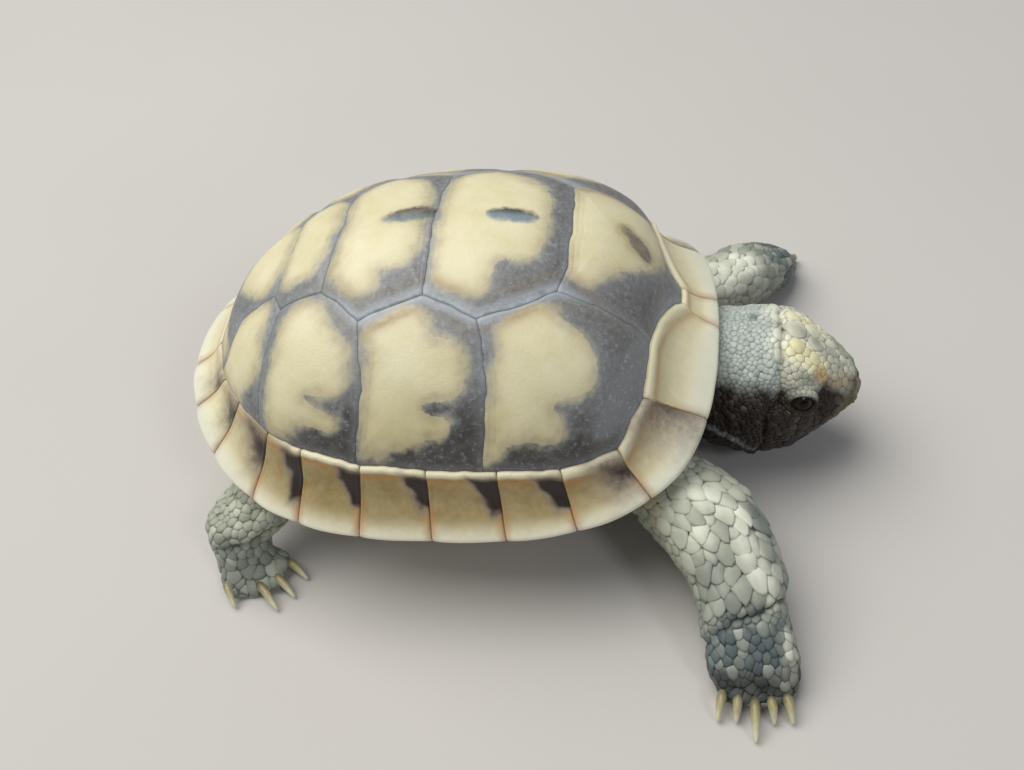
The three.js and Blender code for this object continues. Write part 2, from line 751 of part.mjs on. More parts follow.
// Claws: the middle of the toes, the way the foot points, how far the outer claws fan out, and the
// spread of their roots.
const FEET = {
  foreleg_right: {
    toes: [26.9, -29.1], heading: -91, sweep: 0, fan: 13, spread: 4.9, bow: 0.5, length: 3,
    claws: [-1, -0.52, 0, 0.52, 1],
  },
  foreleg_left: {
    toes: [32.1, 26.2], heading: 73, sweep: 0, fan: 14, spread: 4.7, bow: 0.5, length: 2.6,
    claws: [-1, -0.52, 0, 0.52, 1],
  },
  hindleg_right: {
    toes: [-18.8, -18.9], heading: -74, sweep: 26, fan: 12, spread: 5.4, bow: 1.2, length: 3.1,
    claws: [-1, 0.2, 0.75, 1.25],
  },
  hindleg_left: {
    toes: [-20.2, 17.9], heading: 76, sweep: -24, fan: 12, spread: 5.4, bow: 1.2, length: 3.1,
    claws: [-1.1, -0.4, 0.3, 1],
  },
};

const CLAW = { root: -3.5, knuckle: -3.35, tip: FLOOR + 0.16, width: 0.62, height: 0.7 };

// One claw: it leaves the toe almost level and curves down to the floor. share is its place across
// the foot, from -1 to 1.
function claw(foot, share) {
  const aside = radians(foot.heading + 90);
  const ahead = radians(foot.heading);
  const way = radians(foot.heading + foot.sweep + share * foot.fan);
  const across = share * foot.spread / 2;
  const forward = foot.bow * (1 - share * share);
  const length = foot.length * (1 - 0.16 * share * share);
  const root = [
    foot.toes[0] + Math.cos(aside) * across + Math.cos(ahead) * forward,
    foot.toes[1] + Math.sin(aside) * across + Math.sin(ahead) * forward,
  ];
  const point = (reach, z, size) => [
    root[0] + Math.cos(way) * reach * length,
    root[1] + Math.sin(way) * reach * length,
    z,
    CLAW.width * size,
    CLAW.height * size,
  ];
  return limb([
    point(-0.35, CLAW.root, 0.9),
    point(0.2, CLAW.knuckle, 1.1),
    point(0.68, lerp(CLAW.knuckle, CLAW.tip, 0.4), 0.75),
    point(1, CLAW.tip, 0.22),
  ], { columns: 6, rows: 5, startCap: 0.15, endCap: 0.08 });
}

const TAIL = [
  [-14, 0, 3.2, 2.6, 2.4],
  [-18.3, 0.1, 2.2, 2.4, 2.2],
  [-21.3, 0.3, 0.7, 1.8, 1.7],
  [-23.3, 0.5, -1, 1.1, 1.05],
  [-24.2, 0.7, -2.2, 0.5, 0.5],
];

// ---------------------------------------------------------------- parting and assembly

function union(geometries) {
  return geometries.map(toSolid).reduce((whole, piece) => whole.add(piece));
}

// The largest body of a form whose trimming left crumbs.
function largest(solid) {
  return solid.decompose().reduce((best, body) => (body.volume() > best.volume() ? body : best));
}

// A block far larger than the animal, with one face through (x, 0, z): sign and axis say which
// side of that face it fills, and tilt turns it about the Y axis.
function block(axis, sign, { x = 0, z = 0, tilt = 0 }) {
  const geometry = new THREE.BoxGeometry(BLOCK, BLOCK, BLOCK);
  geometry.translate(...axis.map((along) => along * sign * BLOCK / 2));
  geometry.rotateY(radians(tilt));
  geometry.translate(x, 0, z);
  geometry.deleteAttribute('normal');
  geometry.deleteAttribute('uv');
  return toSolid(mergeVertices(geometry));
}

const tortoise = new THREE.Group();

function addPiece(name, geometry, finish) {
  const mesh = new THREE.Mesh(geometry, new THREE.MeshStandardMaterial(finish));
  mesh.name = name;
  tortoise.add(mesh);
}

const carapace = carapaceScutes(0);
const belly = bellyScutes(0);
const fatShell = union([...carapaceScutes(CUT), ...bellyScutes(CUT)].map((piece) => piece.geometry));

carapace.forEach(({ name, geometry }) => {
  const isRim = /marginal|nuchal|supracaudal/.test(name);
  addPiece(name, geometry, isRim ? FINISH.rimHorn : FINISH.horn);
});
belly.forEach(({ name, geometry }) => addPiece(name, geometry, FINISH.bellyHorn));

const trunk = toSolid(trunkForm(0));
const fatTrunk = toSolid(trunkForm(CUT));
addPiece('trunk', toGeometry(trunk), FINISH.skin);

const sockets = union([1, -1].map((side) => ball(eyePlace(side), EYE.radius + EYE.socketGap)));
const neckHead = toSolid(neckAndHead()).subtract(sockets);
const parting = (sign) => block([1, 0, 0], sign, {
  x: HEAD.partedAt + sign * CUT / 2,
  z: 3,
  tilt: HEAD.partingTilt,
});
const head = neckHead.intersect(parting(1));
const neck = neckHead.intersect(parting(-1)).subtract(fatTrunk).subtract(fatShell);
addPiece('head', toGeometry(head), FINISH.headSkin);
addPiece('neck', toGeometry(largest(neck)), FINISH.headSkin);
addPiece('eye_left', ball(eyePlace(1), EYE.radius), FINISH.eye);
addPiece('eye_right', ball(eyePlace(-1), EYE.radius), FINISH.eye);

const belowFloor = block([0, 0, 1], -1, { z: FLOOR });
const fatNeck = toSolid(neckAndHead());
for (const [name, stations] of Object.entries(LEGS)) {
  const foot = FEET[name];
  const claws = foot.claws.map((share) => claw(foot, share));
  const shanks = PILLARS[name] ? [pillar(PILLARS[name], foot.heading)] : [];
  const rows = PILLARS[name] ? 7 : 11;
  const leg = limb(stations, { columns: 14, rows, startCap: 0.1, endCap: 0.1, squareness: 2.3 });
  const solid = union([leg, ...shanks, ...claws]).subtract(fatTrunk).subtract(fatShell).subtract(fatNeck)
    .subtract(belowFloor);
  addPiece(name, toGeometry(largest(solid)), FINISH.skin);
}

const tail = toSolid(limb(TAIL, { columns: 12, rows: 9, startCap: 0.1, endCap: 0.1 }))
  .subtract(fatTrunk).subtract(fatShell);
addPiece('tail', toGeometry(largest(tail)), FINISH.skin);

// The origin is the middle of the base of the whole animal, on the floor.
const box = new THREE.Box3().setFromObject(tortoise);
tortoise.position.set(-(box.min.x + box.max.x) / 2, -(box.min.y + box.max.y) / 2, -box.min.z);

export default tortoise;
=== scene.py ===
"""A young Mediterranean land tortoise in mid step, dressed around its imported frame.

Sizes are millimetres in the shell's own frame: x forwards, y to the animal's left, z up, with the
carapace's plan centred on the origin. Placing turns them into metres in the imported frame.
"""

import logging
import math
from collections.abc import Callable, Iterator, Sequence
from contextlib import contextmanager
from dataclasses import dataclass
from enum import Enum

import bpy
import numpy as np
from mathutils import Matrix, Vector
from mathutils.bvhtree import BVHTree
from mathutils.kdtree import KDTree


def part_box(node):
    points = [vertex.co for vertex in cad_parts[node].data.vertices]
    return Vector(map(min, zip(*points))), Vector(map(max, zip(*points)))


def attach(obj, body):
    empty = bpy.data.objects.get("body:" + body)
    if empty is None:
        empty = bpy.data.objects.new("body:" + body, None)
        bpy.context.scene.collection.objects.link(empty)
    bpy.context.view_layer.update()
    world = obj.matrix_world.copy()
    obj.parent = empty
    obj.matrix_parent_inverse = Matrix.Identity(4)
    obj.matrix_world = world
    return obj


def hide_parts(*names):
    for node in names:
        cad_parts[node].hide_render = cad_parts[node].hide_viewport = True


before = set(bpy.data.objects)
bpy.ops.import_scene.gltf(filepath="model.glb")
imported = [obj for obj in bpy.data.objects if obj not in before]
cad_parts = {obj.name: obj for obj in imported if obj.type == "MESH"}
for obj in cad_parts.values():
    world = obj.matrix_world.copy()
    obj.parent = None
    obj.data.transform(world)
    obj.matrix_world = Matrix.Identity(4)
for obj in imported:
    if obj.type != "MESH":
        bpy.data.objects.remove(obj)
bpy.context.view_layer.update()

LOG = logging.getLogger("tortoise")
MM = 0.001
BODY = "root"
Array = np.ndarray
Marks = Callable[[Array, Array], dict[str, Array]]
Point = tuple[float, float]
Place = tuple[float, float, float]
OUTSIDE = -5.0


# ---------------------------------------------------------------- small helpers


def mix(low, high, share):
    """Return the value a share of the way from low to high."""
    return low + (high - low) * share


def smooth(x, low: float, high: float):
    """Return 0 below low, 1 above high and a smooth step between them."""
    share = np.clip((np.asarray(x, float) - low) / (high - low), 0, 1)
    return share * share * (3 - 2 * share)


def bump_at(distance, width: float):
    """Return a bell of height 1 at distance 0 that fades over width."""
    return np.exp(-((np.asarray(distance, float) / width) ** 2))


def unit(vectors: Array) -> Array:
    """Return the vectors at length 1."""
    return vectors / np.maximum(np.linalg.norm(vectors, axis=-1, keepdims=True), 1e-12)


def waves(points: Array, size: float, seed: int) -> Array:
    """Sum a few slow waves into a smooth wandering value of about -1 to 1.

    Args:
        points: Places, one per row, in any number of dimensions.
        size: About how far apart the value's highs are, in the units of points.
        seed: Picks the waves.

    Returns:
        One value per place.
    """
    random = np.random.default_rng(seed)
    dimensions = points.shape[-1]
    ways = unit(random.normal(size=(7, dimensions))) / size * random.uniform(0.7, 1.6, (7, 1))
    phases = random.uniform(0, 2 * math.pi, 7)
    return np.sin(points @ ways.T * 2 * math.pi + phases).sum(-1) / 3.2


def rounded(corners: Sequence[Point], times: int = 2, closed: bool = True) -> Array:
    """Cut the corners off an outline until it runs smoothly.

    Args:
        corners: The outline's corners in order.
        times: How often each corner is cut.
        closed: Whether the last corner joins the first.

    Returns:
        The smoother outline's points.
    """
    line = np.asarray(corners, float)
    for _ in range(times):
        after = np.roll(line, -1, axis=0)
        cut = np.stack([mix(line, after, 0.25), mix(line, after, 0.75)], axis=1).reshape(-1, 2)
        line = cut if closed else np.vstack([line[:1], cut[1:-3], line[-1:]])
    return line


def inside(places: Array, outline: Array) -> Array:
    """Say which places on the chart lie inside a closed outline.

    Args:
        places: Chart places, one per row.
        outline: The outline's points in order.

    Returns:
        One truth value per place.
    """
    x, y = places[:, :1], places[:, 1:]
    a, b = outline, np.roll(outline, -1, axis=0)
    straddles = (a[:, 1] > y) != (b[:, 1] > y)
    slope = (b[:, 0] - a[:, 0]) / np.where(b[:, 1] == a[:, 1], 1e-12, b[:, 1] - a[:, 1])
    crossing = a[:, 0] + (y - a[:, 1]) * slope
    return (straddles & (x < crossing)).sum(1) % 2 == 1


def line_distance(points: Array, line: Array, closed: bool = True) -> Array:
    """Measure how far points lie from a line of straight stretches.

    Args:
        points: Points in space, in rows and columns of any number.
        line: The line's points in space, in order.
        closed: Whether the last point joins the first.

    Returns:
        One distance per point.
    """
    ends = np.roll(line, -1, axis=0) if closed else line[1:]
    starts = line if closed else line[:-1]
    flat = points.reshape(-1, 3)
    best = np.full(len(flat), 1e9)
    for start, end in zip(starts, ends):
        along = end - start
        share = np.clip((flat - start) @ along / max(along @ along, 1e-12), 0, 1)
        best = np.minimum(best, np.linalg.norm(flat - start - share[:, None] * along, axis=1))
    return best.reshape(points.shape[:-1])


def level_ways(angle: float) -> tuple[Array, Array]:
    """Return the level ways ahead and to the left at an angle in radians."""
    cosine, sine = math.cos(angle), math.sin(angle)
    return np.array([cosine, sine, 0.0]), np.array([-sine, cosine, 0.0])


def nearest_finder(places: Array) -> KDTree:
    """Return a tree that finds the nearest of the places."""
    tree = KDTree(len(places))
    for i, place in enumerate(places):
        tree.insert(place, i)
    tree.balance()
    return tree


@dataclass(frozen=True)
class Placing:
    """Where the shell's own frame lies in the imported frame, read from the eyes."""

    eye_x: float = 31.7
    head_y: float = -0.7
    floor: float = -5.0

    def shift(self) -> Array:
        """Return the shell frame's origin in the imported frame, in millimetres."""
        left = np.array(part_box("eye_left")).mean(0) / MM
        right = np.array(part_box("eye_right")).mean(0) / MM
        return np.array([left[0] - self.eye_x, (left[1] + right[1]) / 2 - self.head_y, -self.floor])


SHIFT = Placing().shift()


def to_metres(points: Array) -> Array:
    """Turn places in the shell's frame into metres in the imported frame."""
    return (points + SHIFT) * MM


def to_shell(points: Array) -> Array:
    """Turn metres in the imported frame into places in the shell's frame."""
    return points / MM - SHIFT


# ---------------------------------------------------------------- making meshes


class Workshop:
    """Blender's operators, as small steps on one piece at a time."""

    @staticmethod
    def only(piece: bpy.types.Object) -> None:
        """Select one piece alone and make it the active one."""
        bpy.ops.object.select_all(action="DESELECT")
        piece.select_set(True)
        bpy.context.view_layer.objects.active = piece

    @classmethod
    @contextmanager
    def editing(cls, piece: bpy.types.Object) -> Iterator[None]:
        """Keep one piece in edit mode with all of it selected."""
        cls.only(piece)
        bpy.ops.object.mode_set(mode="EDIT")
        bpy.ops.mesh.select_all(action="SELECT")
        yield
        bpy.ops.object.mode_set(mode="OBJECT")

    @staticmethod
    def read(items: bpy.types.bpy_prop_collection, name: str, width: int, kind: type = np.float32) -> Array:
        """Return one property of all a mesh's items, in rows of width numbers."""
        flat = np.empty(len(items) * width, kind)
        items.foreach_get(name, flat)
        return flat.reshape(-1, width)

    @classmethod
    def places(cls, piece: bpy.types.Object) -> Array:
        """Return a piece's points in metres, one per row."""
        return cls.read(piece.data.vertices, "co", 3).astype(float)

    @staticmethod
    def place(piece: bpy.types.Object, points: Array) -> None:
        """Move a piece's points to new places in metres."""
        piece.data.vertices.foreach_set("co", points.astype(np.float32).ravel())
        piece.data.update()

    @classmethod
    def normals(cls, piece: bpy.types.Object) -> Array:
        """Return the way out of a piece at each of its points."""
        return cls.read(piece.data.vertex_normals, "vector", 3).astype(float)

    @staticmethod
    def mark(piece: bpy.types.Object, name: str, values: Array) -> None:
        """Write one value per point into a named attribute."""
        layer = piece.data.attributes.get(name) or piece.data.attributes.new(name, "FLOAT", "POINT")
        layer.data.foreach_set("value", np.asarray(values, np.float32).ravel())

    @classmethod
    def close(cls, piece: bpy.types.Object, gap: float = 2e-6) -> None:
        """Merge a piece's doubled points and turn its faces outwards.

        Args:
            piece: The piece to close.
            gap: The longest distance in metres that counts as doubled.
        """
        with cls.editing(piece):
            bpy.ops.mesh.remove_doubles(threshold=gap)
            bpy.ops.mesh.normals_make_consistent(inside=False)
        bpy.ops.object.shade_smooth()

    @classmethod
    def joined(cls, pieces: Sequence[bpy.types.Object], name: str) -> bpy.types.Object:
        """Join pieces into the first of them and name it."""
        cls.only(pieces[0])
        for piece in pieces:
            piece.select_set(True)
        bpy.ops.object.join()
        whole = bpy.context.object
        whole.name = name
        whole.data.name = name
        return whole

    @staticmethod
    def without_maps(piece: bpy.types.Object) -> None:
        """Take every UV map off a piece."""
        for layer in list(piece.data.uv_layers):
            piece.data.uv_layers.remove(layer)

    @classmethod
    def ringed(cls, name: str, points: Array, marks: dict[str, Array], flip: bool) -> bpy.types.Object:
        """Wrap rows of points that each run round the piece.

        Args:
            name: The piece's name.
            points: Rows and columns of places in the shell's frame; the first and last rows are poles.
            marks: Named values for the same rows and columns.
            flip: Whether the piece is the left side's.

        Returns:
            The finished solid.
        """
        whole = np.concatenate([points, points[:, :1]], axis=1)
        values = {mark: np.concatenate([value, value[:, :1]], axis=1) for mark, value in marks.items()}
        if flip:
            whole = whole * np.array([1, -1, 1])
        return cls.wrapped(name, whole, values)

    @classmethod
    def wrapped(cls, name: str, points: Array, marks: dict[str, Array]) -> bpy.types.Object:
        """Lay a grid over rows of points and close it into one solid.

        Args:
            name: The piece's name.
            points: Rows and columns of places in the shell's frame; the first and last rows are
                poles and the last column repeats the first.
            marks: Named values for the same rows and columns.

        Returns:
            The finished solid.
        """
        rows, columns = points.shape[:2]
        bpy.ops.object.select_all(action="DESELECT")
        bpy.ops.mesh.primitive_grid_add(
            x_subdivisions=columns - 1, y_subdivisions=rows - 1, size=2, location=(0, 0, 0)
        )
        piece = bpy.context.object
        piece.name = name
        piece.data.name = name
        flat = cls.places(piece)
        column = np.rint((flat[:, 0] + 1) / 2 * (columns - 1)).astype(int)
        row = np.rint((flat[:, 1] + 1) / 2 * (rows - 1)).astype(int)
        cls.place(piece, to_metres(points[row, column]))
        cls.without_maps(piece)
        for mark, values in marks.items():
            cls.mark(piece, mark, values[row, column])
        cls.close(piece)
        return piece

    @classmethod
    def modify(cls, piece: bpy.types.Object, kind: str, **settings: object) -> None:
        """Add a modifier with these settings and apply it.

        Args:
            piece: The piece to change.
            kind: Blender's name for the modifier.
            **settings: The modifier's own settings.
        """
        cls.only(piece)
        modifier = piece.modifiers.new(kind, kind)
        for setting, value in settings.items():
            setattr(modifier, setting, value)
        bpy.ops.object.modifier_apply(modifier=modifier.name)


def hand_over(
    piece: bpy.types.Object, material: bpy.types.Material, nodes: Sequence[str] = ()
) -> bpy.types.Object:
    """Give a piece its material and tell the frame what it stands for.

    Args:
        piece: The finished piece.
        material: Its material.
        nodes: The CAD nodes it replaces.

    Returns:
        The same piece.
    """
    piece.data.materials.clear()
    piece.data.materials.append(material)
    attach(piece, BODY)
    if nodes:
        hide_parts(*nodes)
    return piece


# ---------------------------------------------------------------- shader words


def colour(code: str) -> tuple[float, float, float, float]:
    """Turn a hexadecimal sRGB colour into the linear one that a shader takes."""
    parts = [int(code[i : i + 2], 16) / 255 for i in (0, 2, 4)]
    linear = [p / 12.92 if p <= 0.04045 else ((p + 0.055) / 1.055) ** 2.4 for p in parts]
    return (*linear, 1.0)


@dataclass(frozen=True)
class Value:
    """A number that varies over a surface; operators on it add Math nodes."""

    tree: bpy.types.NodeTree
    socket: bpy.types.NodeSocket

    def _with(self, operation: str, *operands: object) -> "Value":
        """Add one Math node over the operands."""
        node = self.tree.nodes.new("ShaderNodeMath")
        node.operation = operation
        for port, operand in zip(node.inputs, operands):
            if isinstance(operand, Value):
                self.tree.links.new(operand.socket, port)
            else:
                port.default_value = float(operand)
        return Value(self.tree, node.outputs[0])

    def __add__(self, other: object) -> "Value":
        """Add."""
        return self._with("ADD", self, other)

    def __radd__(self, other: object) -> "Value":
        """Add, from the right."""
        return self._with("ADD", other, self)

    def __sub__(self, other: object) -> "Value":
        """Subtract."""
        return self._with("SUBTRACT", self, other)

    def __rsub__(self, other: object) -> "Value":
        """Subtract from a number."""
        return self._with("SUBTRACT", other, self)

    def __mul__(self, other: object) -> "Value":
        """Multiply."""
        return self._with("MULTIPLY", self, other)

    def __rmul__(self, other: object) -> "Value":
        """Multiply, from the right."""
        return self._with("MULTIPLY", other, self)

    def __truediv__(self, other: object) -> "Value":
        """Divide."""
        return self._with("DIVIDE", self, other)

    def __rtruediv__(self, other: object) -> "Value":
        """Divide a number by this."""
        return self._with("DIVIDE", other, self)

    def __neg__(self) -> "Value":
        """Turn the sign."""
        return self._with("MULTIPLY", self, -1)

    def __pow__(self, other: object) -> "Value":
        """Raise to a power."""
        return self._with("POWER", self, other)

    def least(self, other: object) -> "Value":
        """Return the smaller of the two."""
        return self._with("MINIMUM", self, other)

    def most(self, other: object) -> "Value":
        """Return the larger of the two."""
        return self._with("MAXIMUM", self, other)

    def clamped(self) -> "Value":
        """Return the value kept between 0 and 1."""
        return self.least(1).most(0)

    def bell(self, width: float) -> "Value":
        """Return 1 where the value is 0, fading over width on both sides."""
        return 1 / (1 + (self / width) * (self / width))

    def step(self, low: float, high: float) -> "Value":
        """Return 0 below low, 1 above high and a smooth step between."""
        share = ((self - low) / (high - low)).clamped()
        return share * share * (3 - 2 * share)


class Shader:
    """One material's node tree and the words that fill it."""

    def __init__(self, name: str, roughness: float, specular: float = 0.5) -> None:
        """Start a material with one Principled shader.

        Args:
            name: The material's name.
            roughness: The roughness where nothing varies it.
            specular: The shader's specular level.
        """
        self.material = bpy.data.materials.new(name)
        self.material.use_nodes = True
        self.tree = self.material.node_tree
        self.surface = self.tree.nodes["Principled BSDF"]
        self.surface.inputs["Roughness"].default_value = roughness
        self.surface.inputs["Specular IOR Level"].default_value = specular
        self.coordinates = self.tree.nodes.new("ShaderNodeTexCoord").outputs["Object"]

    def node(
        self, kind: str, settings: dict[str, object] | None = None, inputs: dict[str, object] | None = None
    ) -> bpy.types.Node:
        """Add a node.

        Args:
            kind: The node's type.
            settings: Properties to set before the sockets are filled.
            inputs: Socket names with a value, a Value or a socket each.

        Returns:
            The new node.
        """
        made = self.tree.nodes.new(kind)
        for name, value in (settings or {}).items():
            setattr(made, name, value)
        for name, value in (inputs or {}).items():
            port = made.inputs[name]
            if isinstance(value, Value):
                self.tree.links.new(value.socket, port)
            elif isinstance(value, bpy.types.NodeSocket):
                self.tree.links.new(value, port)
            else:
                port.default_value = value
        return made

    def mark(self, name: str) -> Value:
        """Return the value of a piece's own named attribute."""
        made = self.node("ShaderNodeAttribute", {"attribute_name": name})
        return Value(self.tree, made.outputs["Fac"])

    def noise(self, size: float, detail: float = 3, rough: float = 0.55, warp: float = 0.0) -> Value:
        """Return a noise about zero, from roughly -0.5 to 0.5.

        Args:
            size: The size of its patches in millimetres.
            detail: How many finer layers it has.
            rough: How strong the finer layers are.
            warp: How much it is distorted.

        Returns:
            The noise.
        """
        made = self.node(
            "ShaderNodeTexNoise",
            {"noise_dimensions": "3D"},
            {
                "Vector": self.coordinates,
                "Scale": 1 / (size * MM),
                "Detail": detail,
                "Roughness": rough,
                "Distortion": warp,
            },
        )
        return Value(self.tree, made.outputs["Fac"]) - 0.5

    def cells(self, size: float, feature: str = "F1") -> Value:
        """Return the distance field of cells about size millimetres across."""
        made = self.node(
            "ShaderNodeTexVoronoi",
            {"feature": feature},
            {"Vector": self.coordinates, "Scale": 1 / (size * MM)},
        )
        return Value(self.tree, made.outputs["Distance"])

    def blend(self, first: object, second: object, share: Value) -> bpy.types.NodeSocket:
        """Mix two colours.

        Args:
            first: The colour where share is 0, as a hexadecimal code or a socket.
            second: The colour where share is 1.
            share: How much of the second shows.

        Returns:
            The mixed colour's socket.
        """
        made = self.tree.nodes.new("ShaderNodeMix")
        made.data_type = "RGBA"
        made.clamp_factor = True
        ports = [port for port in made.inputs if port.type == "RGBA"]
        for port, value in zip(ports, (first, second)):
            if isinstance(value, str):
                port.default_value = colour(value)
            else:
                self.tree.links.new(value, port)
        self.tree.links.new(share.socket, made.inputs[0])
        return next(port for port in made.outputs if port.type == "RGBA")

    def layers(self, base: object, *coats: tuple[object, Value]) -> bpy.types.NodeSocket:
        """Lay colours over each other, each with its own share."""
        for paint, share in coats:
            base = self.blend(base, paint, share)
        return base

    def finish(
        self, base: bpy.types.NodeSocket, relief: Value, depth: float, roughness: Value | None = None
    ) -> bpy.types.Material:
        """Join the colour and the fine relief to the surface.

        Args:
            base: The base colour.
            relief: The height of the fine relief, about -1 to 1.
            depth: The relief's depth in millimetres for a height of 1.
            roughness: The roughness where it varies.

        Returns:
            The finished material.
        """
        self.tree.links.new(base, self.surface.inputs["Base Color"])
        bump = self.node(
            "ShaderNodeBump", {}, {"Height": relief, "Distance": depth * MM, "Strength": 1.0}
        )
        self.tree.links.new(bump.outputs["Normal"], self.surface.inputs["Normal"])
        if roughness is not None:
            self.tree.links.new(roughness.socket, self.surface.inputs["Roughness"])
        return self.material


# ---------------------------------------------------------------- the dome


@dataclass(frozen=True)
class Dome:
    """The carapace's form: each place (u, v) on a unit disc has its point on the dome."""

    half_length: float = 25.0
    half_width: float = 21.0
    front_shift: float = 0.9
    front_squareness: float = 3.1
    rear_squareness: float = 2.3
    taper: float = 0.03
    apex: float = 23.5
    side_rim: float = 5.0
    front_rim: float = 11.0
    rear_rim: float = 10.0
    rim_rise: float = 3.3
    front_fullness: float = 2.2
    rear_fullness: float = 1.9
    side_fullness: float = 2.05
    front_flare: float = 4.0
    rear_flare: float = 3.4
    side_flare: float = 2.2
    flare_start: float = 0.76

    def point(self, places: Array) -> Array:
        """Put chart places on the dome.

        Args:
            places: Chart places in the last axis.

        Returns:
            Points in the shell's frame.
        """
        u, v = places[..., 0], places[..., 1]
        radius = np.maximum(np.hypot(u, v), 1e-6)
        c, s = u / radius, v / radius
        front, rear = np.maximum(c, 0), np.maximum(-c, 0)
        polar = radius * math.pi / 2
        ends = mix(self.rear_fullness, self.front_fullness, 0.5 + 0.5 * c)
        fullness = mix(ends, self.side_fullness, s * s)
        sine, cosine = np.abs(np.sin(polar)), np.cos(polar)
        reach = (sine**fullness + np.abs(cosine) ** fullness) ** (-1 / fullness)
        rho, zeta = reach * sine, reach * cosine
        rim = (
            self.side_rim
            + (self.front_rim - self.side_rim) * front**self.rim_rise
            + (self.rear_rim - self.side_rim) * rear**self.rim_rise
        )
        edge = np.clip((radius - self.flare_start) / (1 - self.flare_start), 0, 1.2)
        flare = (
            self.side_flare
            + (self.front_flare - self.side_flare) * front**2
            + (self.rear_flare - self.side_flare) * rear**2
        )
        spread = (1 - flare / self.half_length) * rho + flare * edge * edge / self.half_length
        power = mix(self.rear_squareness, self.front_squareness, 0.5 + 0.5 * c)
        plan = (np.abs(c) ** power + np.abs(s) ** power) ** (-1 / power)
        x = self.half_length * plan * c
        y = self.half_width * plan * s * (1 + self.taper * plan * c)
        height = rim + (self.apex - rim) * zeta
        return np.stack([x * spread + self.front_shift * (1 - rho), y * spread, height], -1)

    def normal(self, places: Array) -> Array:
        """Return the way out of the dome at chart places."""
        length = np.hypot(places[..., 0], places[..., 1])[..., None]
        near = places * np.minimum(1, 0.995 / np.maximum(length, 1e-9))
        along, across = np.array([1e-3, 0]), np.array([0, 1e-3])
        first = self.point(near + along) - self.point(near - along)
        second = self.point(near + across) - self.point(near - across)
        return unit(np.cross(first, second))


DOME = Dome()


def wander(places: Array) -> Array:
    """Move chart places a little, so that seams run like grown ones and both their sides agree."""
    step = np.stack([waves(places, 0.17, 11), waves(places, 0.17, 12)], -1)
    finer = np.stack([waves(places, 0.06, 13), waves(places, 0.06, 14)], -1)
    hold = 1 - smooth(np.hypot(places[..., 0], places[..., 1]), 0.8, 0.97)[..., None]
    return places + hold * (0.0035 * step + 0.0016 * finer)


def mirrored(places: Sequence[Point]) -> list[Point]:
    """Return chart places reflected to the other side, in reverse order."""
    return [(u, -v) for u, v in reversed(places)]


class Side(Enum):
    """The animal's sides; charts are given for the right."""

    RIGHT = "right"
    LEFT = "left"


@dataclass(frozen=True)
class Spot:
    """A dark lens between two chart places, with a half width in millimetres."""

    start: Point
    end: Point
    width: float

    def at(self, points: Array) -> Array:
        """Return the way into the lens in millimetres, above zero inside it."""
        start, end = DOME.point(np.array(self.start)), DOME.point(np.array(self.end))
        along = end - start
        share = (points - start) @ along / (along @ along) * 2 - 1
        away = np.linalg.norm(points - (start + end) / 2 - share[:, None] * along / 2, axis=1)
        bulge = self.width * np.sqrt(np.clip(1 - share**2, 0, 1))
        return bulge - away - 3 * np.maximum(np.abs(share) - 1, 0)


@dataclass(frozen=True)
class Marking:
    """One scute's pale fields, as outlines on the chart, its dark spots and its patches of painted sheen.

    Attributes:
        pale: The outline of the pale field.
        rear: The chart place towards which warm brown growth shows.
        spots: Dark lenses in the pale field.
        cool: How much painted bluish sheen lies on the spots' right halves.
        island: The outline of a second pale field.
        frost: Where a bluish-grey sheen is painted over the dark band.
        aside: Millimetres by which the painted bluish sheen keeps nearer to the long seam.
    """

    pale: tuple[Point, ...]
    rear: Point
    spots: tuple[Spot, ...] = ()
    cool: float = 0.0
    island: tuple[Point, ...] = ()
    frost: tuple[Spot, ...] = ()
    aside: float = 0.0

    def field(self, places: Array, points: Array, seed: int) -> Array:
        """Measure the way into the dark in millimetres.

        Args:
            places: Chart places, one per row.
            points: The same places in space.
            seed: Varies the outline a little.

        Returns:
            One value per place, above zero in the dark and below it in the pale field.
        """
        dark = np.full(len(places), 1e3)
        for corners in filter(None, (self.pale, self.island)):
            outline = rounded(corners)
            away = line_distance(points, DOME.point(outline))
            dark = np.minimum(dark, np.where(inside(places, outline), -away, away))
        return dark + 0.2 * waves(points, 3.1, seed) + 0.08 * waves(points, 1.1, seed + 1)

    @staticmethod
    def deepest(spots: Sequence[Spot], points: Array) -> Array:
        """Measure the way into any of the spots in millimetres, above zero inside them."""
        return np.max([np.full(len(points), OUTSIDE), *[spot.at(points) for spot in spots]], axis=0)


